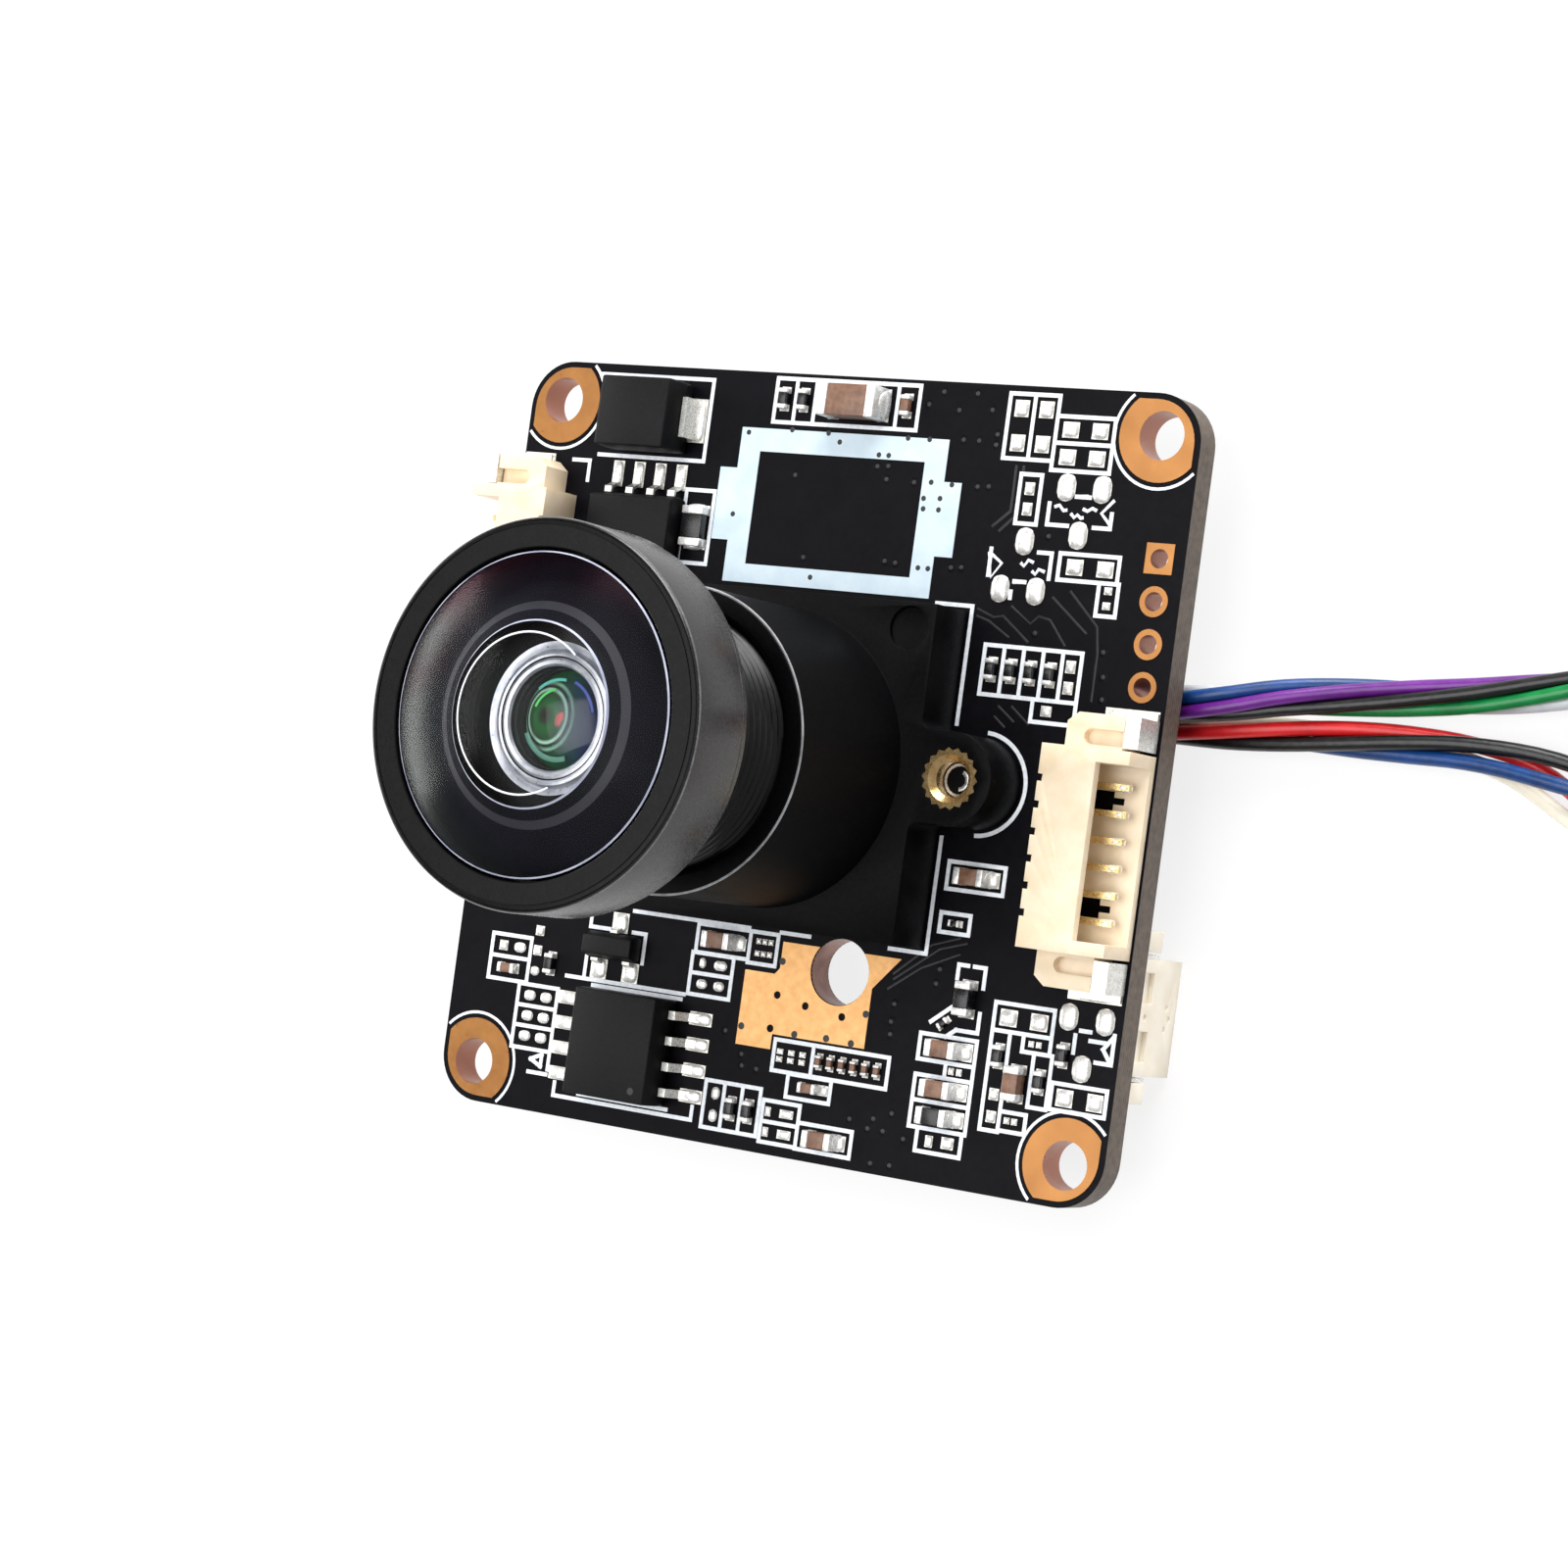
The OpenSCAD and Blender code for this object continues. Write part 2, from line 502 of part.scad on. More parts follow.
module solder_pads() color("#e6e3da") intersection() {
    translate([0, 0, 2 * rear_z]) linear_extrude(4 * board_t) board_outline(0.1);
    union() {
        for (p = square_pads) pad_plate(p);
        for (p = oval_pads) pad_oval(p);
        for (p = dot_pads) pad_plate(p);
        chip_pads(concat(capacitors, resistors));
        package_pads(driver_at, 0, soic_narrow, gull_spots(4, 4, lead_pitch), [0.65, 1.3]);
        package_pads(flash_at, 1, soic_wide, gull_spots(4, 4, lead_pitch), [0.65, 1.3]);
        package_pads(transistor_at, 0, sot_small, sot_spots, [0.95, 1]);
        at_front_socket() socket_pads(front_pins);
        at_left_socket() socket_pads(left_pins);
        for (s = [-1, 1]) at(diode_at) translate([s * (diode_size[0] / 2 + 0.3), 0, 0]) block([1, 2.2, pad_t]);
        on_rear() chip_pads(concat(rear_capacitors, rear_resistors));
        at_tail_socket() socket_pads(tail_pins);
        at_right_header() header_pads(header_pins);
        at_left_header() header_pads(header_pins);
    }
}

module line(a) {
    d = rim_spot([a[2], a[3]]) - rim_spot(a);
    len = norm(d) + line_w;
    at(a) rotate(atan2(d[1], d[0])) translate([-line_w / 2, -line_w / 2, 0]) cube([len, line_w, print_t]);
}

module printed_box(b) difference() {
    low = rim_spot([b[0], b[2]]);
    size = rim_spot([b[1], b[3]]) - low;
    w = line_w / 2;
    translate([low[0] - w, low[1] - w, 0]) cube([size[0] + line_w, size[1] + line_w, print_t]);
    translate([low[0] + w, low[1] + w, -1]) cube([size[0] - line_w, size[1] - line_w, 2]);
}

module arc_print(r_in, r_out, from, to) rotate(from) rotate_extrude(angle = to - from)
    translate([r_in, 0]) square([r_out - r_in, print_t]);

// Component outlines, the holder's outline and the arcs round the corner rings.
module white_print() color("#e9edf3") {
    for (b = printed_boxes) printed_box(b);
    for (a = printed_lines) line(a);
    for (q = [0:3]) rotate(90 * q) translate([corner, corner, 0])
        arc_print(ring_d / 2 + 0.22, ring_d / 2 + 0.36, 132, 318);
    translate([ear_x, 0, 0]) arc_print(ear_w / 2 + 0.15, ear_w / 2 + 0.15 + line_w, -88, 88);
}

// The white frame printed above the holder, with a tab on each side.
module frame_print() color("#dfeaf2") difference() {
    at(frame_at) {
        block([frame_size[0], frame_size[1], print_t]);
        block([frame_size[0] + 2 * frame_tab[0], frame_tab[1], print_t]);
    }
    at(frame_at) translate([0, frame_band_gap, 0]) block([frame_window[0], frame_window[1], 2], -1);
}

// ---------------------------------------------------------------- holder

module fillet(r) difference() {
    translate([-eps, -eps]) square(r + eps);
    translate([r, r]) circle(r);
}

module holder_outline() {
    square(holder_side, center = true);
    for (s = [0, 1]) mirror([s, 0]) {
        translate([0, -ear_w / 2]) square([ear_x, ear_w]);
        translate([ear_x, 0]) circle(d = ear_w);
        for (t = [0, 1]) mirror([0, t]) translate([holder_side / 2, ear_w / 2]) fillet(fillet_r);
    }
}

function knurl(d) = [for (i = [0:2 * insert_teeth - 1])
    let (r = d / 2 - (i % 2) * knurl_depth, a = 180 * i / insert_teeth) [r * cos(a), r * sin(a)]];

module lens_holder() color("#191919") difference() {
    union() {
        linear_extrude(plate_t) holder_outline();
        translate([0, 0, plate_t - eps]) cylinder(h = holder_h - plate_t - 0.15 + eps, d = tube_d, $fn = 128);
        translate([0, 0, holder_h - 0.15]) cylinder(h = 0.15, d1 = tube_d, d2 = tube_d - 0.3, $fn = 128);
    }
    translate([0, 0, -1]) block([cavity_side, cavity_side, cavity_h + 1]);
    translate([0, 0, -1]) cylinder(h = holder_h, d = septum_hole_d);
    translate([0, 0, cavity_h + septum_t]) cylinder(h = holder_h, d = holder_bore_d, $fn = 128);
    translate([0, 0, holder_h - 0.3]) cylinder(h = 0.31, d1 = holder_bore_d, d2 = holder_bore_d + 0.6, $fn = 128);
    for (s = [-1, 1]) translate([s * ear_x, 0, 0]) {
        translate([0, 0, insert_z]) linear_extrude(plate_t) polygon(knurl(insert_d + 2 * seat_gap));
        translate([0, 0, -1]) cylinder(h = plate_t, d = ear_hole_d);
    }
    translate([dimple_at[0], dimple_at[1], plate_t - dimple_deep]) cylinder(h = 1, d = dimple_d);
}

module threaded_inserts() color("#c9a25a") for (s = [-1, 1]) translate([s * ear_x, 0, insert_z])
    difference() {
        linear_extrude(insert_h) polygon(knurl(insert_d));
        translate([0, 0, -1]) cylinder(h = insert_h + 2, d = insert_bore_d);
        translate([0, 0, insert_h - 0.3]) cylinder(h = 0.31, d1 = insert_bore_d, d2 = insert_bore_d + 0.6);
    }

// Pan-head screws from the rear, with a cross recess.
module holder_screws() color("#b9bcc0") for (s = [-1, 1]) translate([s * ear_x, 0, 0]) difference() {
    union() {
        translate([0, 0, rear_z]) cylinder(h = screw_l, d = screw_d);
        translate([0, 0, rear_z - 1]) cylinder(h = 1, d = 3.8);
        translate([0, 0, rear_z - 1.35]) cylinder(h = 0.35, d1 = 2.8, d2 = 3.8);
    }
    for (a = [0, 90]) rotate(a) translate([0, 0, rear_z - 2]) block([2, 0.4, 1.3]);
}

// ---------------------------------------------------------------- sensor

module image_sensor() color("#2f3236") block(sensor_size, pad_t);

module sensor_glass() color("#7fa8b8") block(sensor_glass_size, pad_t + sensor_size[2]);

module infrared_filter() color("#7f93a8") block(filter_size, cavity_h - filter_size[2] - bond_gap);

// ---------------------------------------------------------------- lens

module lens_barrel() color("#232324") rotate_extrude($fn = 128) polygon([
    [mouth_d / 2, barrel_rear_z], [thread_d / 2 - 0.3, barrel_rear_z], [thread_d / 2, barrel_rear_z + 0.3],
    [thread_d / 2, shoulder_z], [spigot_d / 2, shoulder_z], [spigot_d / 2, spigot_top_z],
    [cell_bore_d / 2, spigot_top_z], [cell_bore_d / 2, cell_step_z],
    [third_d / 2 + turn_gap, cell_step_z], [third_d / 2 + turn_gap, third_step_z],
    [doublet_d / 2 - 0.2, third_step_z], [doublet_d / 2 - 0.2, stop_step_z],
    [doublet_d / 2 + turn_gap, stop_step_z], [doublet_d / 2 + turn_gap, rear_step_z],
    [rear_glass_d / 2 + turn_gap, rear_step_z], [rear_glass_d / 2 + turn_gap, mouth_z], [mouth_d / 2, mouth_z]
]);

module lens_head() color("#2b2b2d") rotate_extrude($fn = 128) polygon([
    [spigot_d / 2 + turn_gap, shoulder_z + 0.1], [boss_d / 2, shoulder_z + 0.1],
    [boss_d / 2, head_rear_z - 0.3], [collar_d / 2 - 0.6, head_rear_z],
    [collar_d / 2 - 0.3, head_rear_z + 0.15], [collar_d / 2 - 0.3, head_rear_z + 0.5],
    [collar_d / 2, head_rear_z + 0.6], [collar_d / 2, head_rear_z + 0.9],
    [groove_d / 2, head_rear_z + 0.95], [groove_d / 2, head_rear_z + collar_l],
    [head_d / 2, head_rear_z + collar_l], [head_d / 2, lens_front_z - 0.2],
    [head_d / 2 - 0.2, lens_front_z], [head_d / 2 - rim_flat, lens_front_z],
    [glass_seat_r, lens_front_z - 0.5], [glass_seat_r, lens_front_z - glass_depth - seat_gap],
    [spigot_d / 2 + turn_gap - 0.35, lens_front_z - glass_depth - seat_gap],
    [spigot_d / 2 + turn_gap - 0.35, spigot_top_z + 0.15], [spigot_d / 2 + turn_gap, spigot_top_z + 0.15]
]);

// A lens element: a disc with a domed front and, if asked, a hollow rear.
module element(d, rear, edge, dome_r, hollow_d = 0, hollow_r = 1) {
    dome_sag = dome_r - sqrt(pow(dome_r, 2) - pow(d / 2, 2));
    hollow_sag = hollow_r - sqrt(pow(hollow_r, 2) - pow(hollow_d / 2, 2));
    difference() {
        union() {
            translate([0, 0, rear]) cylinder(h = edge, d = d, $fn = 128);
            intersection() {
                translate([0, 0, rear + edge + dome_sag - dome_r]) sphere(dome_r, $fn = 160);
                translate([0, 0, rear + edge - eps]) cylinder(h = dome_sag + 1, d = d, $fn = 128);
            }
        }
        if (hollow_d > 0) translate([0, 0, rear + hollow_sag - hollow_r]) sphere(hollow_r, $fn = 160);
    }
}

module front_element() color("#39434f")
    element(front_glass_d, lens_front_z - glass_depth, glass_edge, front_glass_r, glass_inner_d, glass_inner_r);

module second_element() color("#3d5068")
    element(second_d, spacer_seat_z + seat_gap, second_edge, second_r, second_inner_d, second_inner_r);

// The black ring that carries the second element in the barrel's mouth.
module cell_spacer() color("#151517") rotate_extrude($fn = 128) polygon([
    [spacer_bore_d / 2, cell_step_z + seat_gap], [cell_bore_d / 2 - turn_gap, cell_step_z + seat_gap],
    [cell_bore_d / 2 - turn_gap, spacer_top_z - 0.3], [cell_bore_d / 2 - 0.3, spacer_top_z],
    [second_d / 2 + turn_gap, spacer_top_z - 0.45], [second_d / 2 + turn_gap, spacer_seat_z],
    [spacer_bore_d / 2, spacer_seat_z]
]);

module third_element() color("#4f6b5a")
    element(third_d, third_step_z + seat_gap, third_edge, third_r);

module aperture_stop() color("#101010") translate([0, 0, stop_step_z - stop_t - turn_gap]) difference() {
    cylinder(h = stop_t, d = doublet_d);
    translate([0, 0, -1]) cylinder(h = 2, d = aperture_d);
}

module rear_doublet() color("#54705e")
    element(doublet_d, rear_step_z + 0.4, doublet_edge, doublet_r);

module rear_element() color("#5a6f80")
    element(rear_glass_d, rear_glass_z, rear_glass_t, rear_glass_r);

module rear_retainer() color("#1c1c1d") difference() {
    translate([0, 0, mouth_z + seat_gap]) cylinder(h = rear_glass_z - mouth_z - 2 * seat_gap, d = rear_glass_d);
    translate([0, 0, mouth_z - 1]) cylinder(h = lens_front_z, d = retainer_bore_d);
}

// ---------------------------------------------------------------- connectors

function body_len(n) = pin_pitch * (n - 1) + socket_end;
function pin_y(i, n) = (i - (n - 1) / 2) * pin_pitch;

// A side-entry socket: rear face at x = 0, mouth towards +X, on the board at z = 0.
module socket_housing(n) color("#f2e4c6") {
    len = body_len(n);
    inner = len - 2 * socket_wall;
    z0 = pad_t;
    difference() {
        union() {
            translate([0, -len / 2, z0]) cube([socket_l, len, socket_h]);
            for (s = [0, 1]) mirror([0, s, 0]) translate([0, 0, z0]) linear_extrude(wing_h) polygon([
                [wing_rear, len / 2 - eps], [wing_front, len / 2 - eps], [wing_front, len / 2 + wing_l],
                [wing_rear + 0.55, len / 2 + wing_l], [wing_rear, len / 2 + wing_l - 0.45]
            ]);
        }
        translate([socket_back, -inner / 2, z0 + socket_floor])
            cube([socket_l, inner, socket_h - socket_floor - socket_roof]);
        translate([roof_l, -inner / 2, z0 + socket_floor]) cube([socket_l, inner, socket_h]);
        for (i = [0:n - 1]) translate([0, pin_y(i, n), z0]) {
            translate([-1, -pin_t / 2 - seat_gap, -1]) cube([1 + leg_t + seat_gap, pin_t + 2 * seat_gap, socket_h + 2]);
            translate([0, -pin_t / 2 - seat_gap, pin_z - pin_t / 2 - seat_gap])
                cube([socket_back + eps, pin_t + 2 * seat_gap, pin_t + 2 * seat_gap]);
        }
        for (y = [pin_y(0.5, n), pin_y(n - 1.5, n)]) {
            translate([socket_back, y - 0.45, z0 - 1]) cube([2.9 - socket_back, 0.9, 2]);
            translate([2.8, y - 0.16, z0 - 1]) cube([0.65, 0.32, 2]);
        }
        for (s = [-1, 1]) translate([2.05, s * (len / 2 + 0.55), z0 + wing_h - 0.5]) {
            translate([0, -wing_slot / 2, 0]) cube([wing_front, wing_slot, 1]);
            cylinder(h = 1, d = wing_slot);
        }
    }
}

// Pins of a socket: a straight blade, a leg down its rear notch and a foot behind.
module socket_pins(n) color("#e3cf97") for (i = [0:n - 1])
    translate([0, pin_y(i, n), pad_t]) across(pin_t) polygon([
        [-foot_l, 0], [leg_t, 0], [leg_t, pin_z - pin_t / 2], [pin_reach, pin_z - pin_t / 2],
        [pin_reach, pin_z + pin_t / 2], [0, pin_z + pin_t / 2], [0, foot_t], [-foot_l, foot_t]
    ]);

// The bent metal nail that holds each wing of a socket to its pad.
module socket_nail_pair(n) for (s = [0, 1]) mirror([0, s, 0]) translate([0, body_len(n) / 2, pad_t]) {
    translate([wing_front + 0.05, 0.15, 0]) cube([clip_t, wing_l - 0.15, wing_h + 0.05]);
    translate([wing_front + clip_t - clip_l, wing_l + seat_gap, 0]) cube([clip_l, clip_w, foot_t]);
    translate([wing_front + 0.05, wing_l - eps, 0]) cube([clip_t - 0.05, clip_w + 0.02, foot_t]);
}

module at_front_socket() translate([front_socket_at[0], front_socket_at[1], 0]) children();
module at_left_socket() translate([left_socket_at[0], left_socket_at[1], 0]) rotate(180) children();
module at_tail_socket() on_rear() translate([tail_socket_at[0], tail_socket_at[1], 0]) children();

module front_socket_housing() at_front_socket() socket_housing(front_pins);
module front_socket_pins() at_front_socket() socket_pins(front_pins);
module left_socket_housing() at_left_socket() socket_housing(left_pins);
module left_socket_pins() at_left_socket() socket_pins(left_pins);
module tail_socket_housing() at_tail_socket() socket_housing(tail_pins);
module tail_socket_pins() at_tail_socket() socket_pins(tail_pins);

module socket_nails() color("#cfd0cc") {
    at_front_socket() socket_nail_pair(front_pins);
    at_left_socket() socket_nail_pair(left_pins);
    at_tail_socket() socket_nail_pair(tail_pins);
}

// The wires' crimp housing, seated in the tail socket with a channel over each pin.
module tail_plug() color("#f4ead2") at_tail_socket() {
    width = body_len(tail_pins) - 2 * socket_wall - 0.1;
    bottom = pad_t + socket_floor + 0.05;
    difference() {
        translate([socket_back + 0.1, -width / 2, bottom])
            cube([socket_l - socket_back + 0.65, width, socket_h - socket_floor - socket_roof - 0.1]);
        for (i = [0:tail_pins - 1]) translate([0, pin_y(i, tail_pins) - 0.25, pad_t + pin_z - 0.25])
            cube([pin_reach + 0.15, 0.5, 0.5]);
    }
}

function header_len(n) = pin_pitch * (n - 1) + header_end;

// An upright header: local -X is its outer face, with a wing at each end.
module header_housing(n) color("#f2e4c6") {
    len = header_len(n);
    slot = pin_t + 2 * seat_gap;
    difference() {
        union() {
            block([header_w, len, header_h - pad_t], pad_t);
            translate([(header_wing_w - header_w) / 2, 0, 0])
                block([header_wing_w, len + 2 * header_wing_l, header_wing_h - header_wing_z], header_wing_z);
        }
        block([header_w - 2 * header_wall, len - 2 * header_wall, header_h], header_floor);
        for (sx = [-1, 1]) for (sy = [-1, 1])
            translate([sx * header_w / 2, sy * len / 4, 0]) block([0.5, 1.45, 1], 0.45);
        for (i = [0:n - 1]) translate([0, pin_y(i, n), -1]) {
            block([slot, slot, 4]);
            translate([-slot / 2, -slot / 2, 0]) cube([header_w, slot, 1 + pad_t + foot_t + seat_gap]);
        }
        for (s = [-1, 1]) translate([0, s * (len + nail_gap) / 2, -1]) {
            translate([-header_w / 2, 0, 0]) block([2 * nail_w, nail_gap, header_h]);
            block([2 * header_w, nail_gap, header_h], 1.6);
        }
        translate([header_w / 2, 0, 0]) block([2 * header_wall + 0.2, 1, header_h], header_h - 1.4);
        for (p = [[-0.5, 3.1], [0, 3.45], [0.5, 3.1], [0, 0.9]]) translate([-header_w / 2, p[0], p[1]])
            rotate([0, 90, 0]) cylinder(h = 0.15, d = 0.3, center = true);
    }
}

module at_right_header() on_rear() translate(right_header_at) rotate(180) children();
module at_left_header() on_rear() translate(left_header_at) children();

module right_header_housing() at_right_header() header_housing(header_pins);
module left_header_housing() at_left_header() header_housing(header_pins);

// Upright pins with their feet towards the board's middle, and a bent nail at each end.
module header_metal(n) {
    for (i = [0:n - 1]) translate([0, pin_y(i, n), 0]) {
        block([pin_t, pin_t, header_h - header_tip - pad_t], pad_t);
        translate([-pin_t / 2, -pin_t / 2, pad_t]) cube([header_w / 2 + 0.6, pin_t, foot_t]);
    }
    for (s = [0, 1]) mirror([0, s, 0]) translate([-header_w / 2 + seat_gap, header_len(n) / 2, pad_t]) {
        translate([0, (nail_gap - nail_t) / 2, 0]) cube([nail_w - 2 * seat_gap, nail_t, header_wing_h - 0.2]);
        translate([0, (nail_gap - nail_t) / 2, 0]) cube([nail_w - 2 * seat_gap, header_wing_l, foot_t]);
    }
}

module header_pin_rows() color("#cfd0cc") {
    at_right_header() header_metal(header_pins);
    at_left_header() header_metal(header_pins);
}

// ---------------------------------------------------------------- packages

// Lead spots of a package: x along its length, y side (-1 or 1).
function gull_spots(n_low, n_high, pitch) = concat(
    [for (i = [0:n_low - 1]) [(i - (n_low - 1) / 2) * pitch, -1]],
    [for (i = [0:n_high - 1]) [(i - (n_high - 1) / 2) * pitch, 1]]
);
sot_spots = [[-sot_pitch, -1], [sot_pitch, -1], [0, 1]];

// A moulded body, drafted above and below its parting line.
module package_body(package) {
    w = package[1] / 2;
    top = package[2];
    part_line = 0.45 * top;
    rotate(90) across(package[0]) polygon([
        [-w + 0.12, 0.12], [w - 0.12, 0.12], [w, part_line], [w - 0.2, top], [-w + 0.2, top], [-w, part_line]
    ]);
}

// A gull-wing lead, from its foot on the pad up to the body's side.
module gull_lead(package, width) {
    body = package[1] / 2;
    tip = package[3] / 2;
    knee = body + 0.3 * (tip - body);
    foot = tip - 0.45 * (tip - body);
    h = 0.45 * package[2];
    rotate(90) across(width) polygon([
        [tip, pad_t], [tip, pad_t + lead_t], [foot, pad_t + lead_t], [knee, h + lead_t / 2],
        [body + seat_gap, h + lead_t / 2], [body + seat_gap, h - lead_t / 2],
        [knee - 0.08, h - lead_t / 2], [foot - 0.08, pad_t]
    ]);
}

module package_leads(package, spots, width) for (p = spots)
    translate([p[0], 0, 0]) rotate(p[1] > 0 ? 0 : 180) gull_lead(package, width);

module driver_chip() color("#222326") at(driver_at) package_body(soic_narrow);
module flash_chip() color("#222326") at(flash_at) rotate(90) package_body(soic_wide);
module transistor() color("#222326") at(transistor_at) package_body(sot_small);

module gull_leads() color("#d8d8d4") {
    at(driver_at) package_leads(soic_narrow, gull_spots(4, 4, lead_pitch), lead_w);
    at(flash_at) rotate(90) package_leads(soic_wide, gull_spots(4, 4, lead_pitch), lead_w);
    at(transistor_at) package_leads(sot_small, sot_spots, lead_w);
}

module diode_body() color("#26262a") at(diode_at) across(diode_size[1]) polygon([
    [-diode_size[0] / 2 + 0.1, 0.15], [diode_size[0] / 2 - 0.1, 0.15], [diode_size[0] / 2, 1.1],
    [diode_size[0] / 2 - 0.15, diode_size[2]], [-diode_size[0] / 2 + 0.15, diode_size[2]],
    [-diode_size[0] / 2, 1.1]
]);

// Metal straps folded down both ends of the diode.
module diode_straps() color("#d8d2c0") at(diode_at) for (s = [0, 1]) mirror([s, 0, 0]) {
    x = diode_size[0] / 2 + seat_gap;
    across(2) polygon([
        [x + 0.3, pad_t], [x + 0.3, 1.2], [x, 1.2], [x, 1], [x + 0.1, 1], [x + 0.1, pad_t + 0.2],
        [x - 0.1, pad_t + 0.2], [x - 0.1, pad_t]
    ]);
}

module chip_bodies(list) for (c = list) at(c) rotate(90 * c[2])
    block([c[3][0] - 2 * c[3][3], c[3][1] - 0.04, c[3][2] - 0.03], pad_t + 0.01);

module end_caps(list) for (c = list) at(c) rotate(90 * c[2]) for (s = [-1, 1])
    translate([s * (c[3][0] - c[3][3]) / 2, 0, 0]) block([c[3][3], c[3][1], c[3][2]], pad_t);

module chip_capacitors() color("#8a5f45") {
    chip_bodies(capacitors);
    on_rear() chip_bodies(rear_capacitors);
}

module chip_resistors() color("#202022") {
    chip_bodies(resistors);
    on_rear() chip_bodies(rear_resistors);
}

module chip_ends() color("#dcdad2") {
    end_caps(capacitors);
    end_caps(resistors);
    on_rear() end_caps(rear_capacitors);
    on_rear() end_caps(rear_resistors);
}

module main_processor() color("#1f2022") on_rear() at(soc_at) {
    block([soc_side, soc_side, 0.3], pad_t);
    block([soc_side - 0.6, soc_side - 0.6, soc_h - 0.3 + eps], pad_t + 0.3 - eps);
}

module crystal() color("#c3c4c2") on_rear() at(crystal_at) {
    block([crystal_size[0], crystal_size[1], 0.3], pad_t);
    block([crystal_size[0] - 0.3, crystal_size[1] - 0.3, crystal_size[2] - 0.3 + eps], pad_t + 0.3 - eps);
}

// Shielded inductors: a square ferrite with cut corners and a round core.
module power_inductors() color("#3a3b3d") on_rear() for (p = coils_at) at(p) {
    intersection() {
        block([inductor_side, inductor_side, inductor_h - 0.15], pad_t);
        rotate(45) block([1.25 * inductor_side, 1.25 * inductor_side, inductor_h], pad_t);
    }
    translate([0, 0, pad_t + inductor_h - 0.15 - eps]) cylinder(h = 0.15 + eps, d = 0.7 * inductor_side);
}

// ---------------------------------------------------------------- wiring

function unit(v) = v / norm(v);
function heading(pts, i) = unit(pts[min(i + 1, len(pts) - 1)] - pts[max(i - 1, 0)]);

// An eight-sided tube swept along a list of points.
module tube(pts, d) {
    sides = 8;
    rings = [for (i = [0:len(pts) - 1])
        let (t = heading(pts, i), u = unit(cross([0, 0, 1], t)), v = cross(t, u))
        for (k = [0:sides - 1])
            let (a = 360 * (k + 0.5) / sides) pts[i] + d / 2 * (cos(a) * u + sin(a) * v)];
    sides_faces = [for (i = [0:len(pts) - 2]) for (k = [0:sides - 1])
        [i * sides + k, (i + 1) * sides + k, (i + 1) * sides + (k + 1) % sides, i * sides + (k + 1) % sides]];
    first = [for (k = [0:sides - 1]) k];
    last = [for (k = [0:sides - 1]) len(pts) * sides - 1 - k];
    polyhedron(rings, concat([first], sides_faces, [last]));
}

// The outer shape of a coil two turns wide and two turns high.
module coil(spot) translate([spot[0], spot[1], floor_z]) rotate_extrude() translate([coil_r - bundle_d, 0])
    polygon([
        [0.4, 0], [2 * bundle_d - 0.4, 0], [2 * bundle_d, 0.4], [2 * bundle_d, 2 * bundle_d - 0.4],
        [2 * bundle_d - 0.4, 2 * bundle_d], [0.4, 2 * bundle_d], [0, 2 * bundle_d - 0.4], [0, 0.4]
    ]);

module far_plug(n, end) translate([end[0], end[1], floor_z]) {
    width = pin_pitch * (n - 1) + 2.6;
    difference() {
        translate([0, -width / 2, 0]) cube([plug_l, width, plug_h]);
        for (i = [0:n - 1]) translate([plug_l - 2.5, pin_y(i, n) - 0.25, plug_h / 2 - 0.25]) cube([3, 0.5, 0.5]);
    }
    translate([plug_l / 2 - 0.6, -0.9, plug_h - eps]) cube([1.2, 1.8, 0.3]);
}

module network_lead() color("#5a2d82") tube(network_route, bundle_d);
module network_coil() color("#5a2d82") coil(network_coil_at);
module network_lead_end() color("#5a2d82") tube(network_end, bundle_d);
module network_plug() color("#f4ead2") far_plug(network_wires, network_end[len(network_end) - 1]);
module power_lead() color("#c5262d") tube(power_route, bundle_d);
module power_coil() color("#c5262d") coil(power_coil_at);
module power_lead_end() color("#c5262d") tube(power_end, bundle_d);
module power_plug() color("#f4ead2") far_plug(power_wires, power_end[len(power_end) - 1]);

board_laminate();
solder_mask();
corner_rings();
header_eyelets();
ground_pad();
solder_pads();
white_print();
frame_print();
lens_holder();
threaded_inserts();
holder_screws();
image_sensor();
sensor_glass();
infrared_filter();
lens_barrel();
lens_head();
front_element();
second_element();
cell_spacer();
third_element();
aperture_stop();
rear_doublet();
rear_element();
rear_retainer();
front_socket_housing();
front_socket_pins();
left_socket_housing();
left_socket_pins();
tail_socket_housing();
tail_socket_pins();
socket_nails();
tail_plug();
right_header_housing();
left_header_housing();
header_pin_rows();
diode_body();
diode_straps();
driver_chip();
flash_chip();
transistor();
gull_leads();
chip_capacitors();
chip_resistors();
chip_ends();
main_processor();
crystal();
power_inductors();
network_lead();
network_coil();
network_lead_end();
network_plug();
power_lead();
power_coil();
power_lead_end();
power_plug();
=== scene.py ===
"""Looks of the board camera: a black circuit board with an M12 lens in its holder,
connectors, soldered parts and two bundles of coloured wires.

Lengths are written in millimetres and turned into metres where a mesh is made.
+Z is the lens axis, +Y points to the diode, and z = 0 is the board's front face.
"""

import math
import random

import bmesh
import bpy
from mathutils import Matrix, Vector


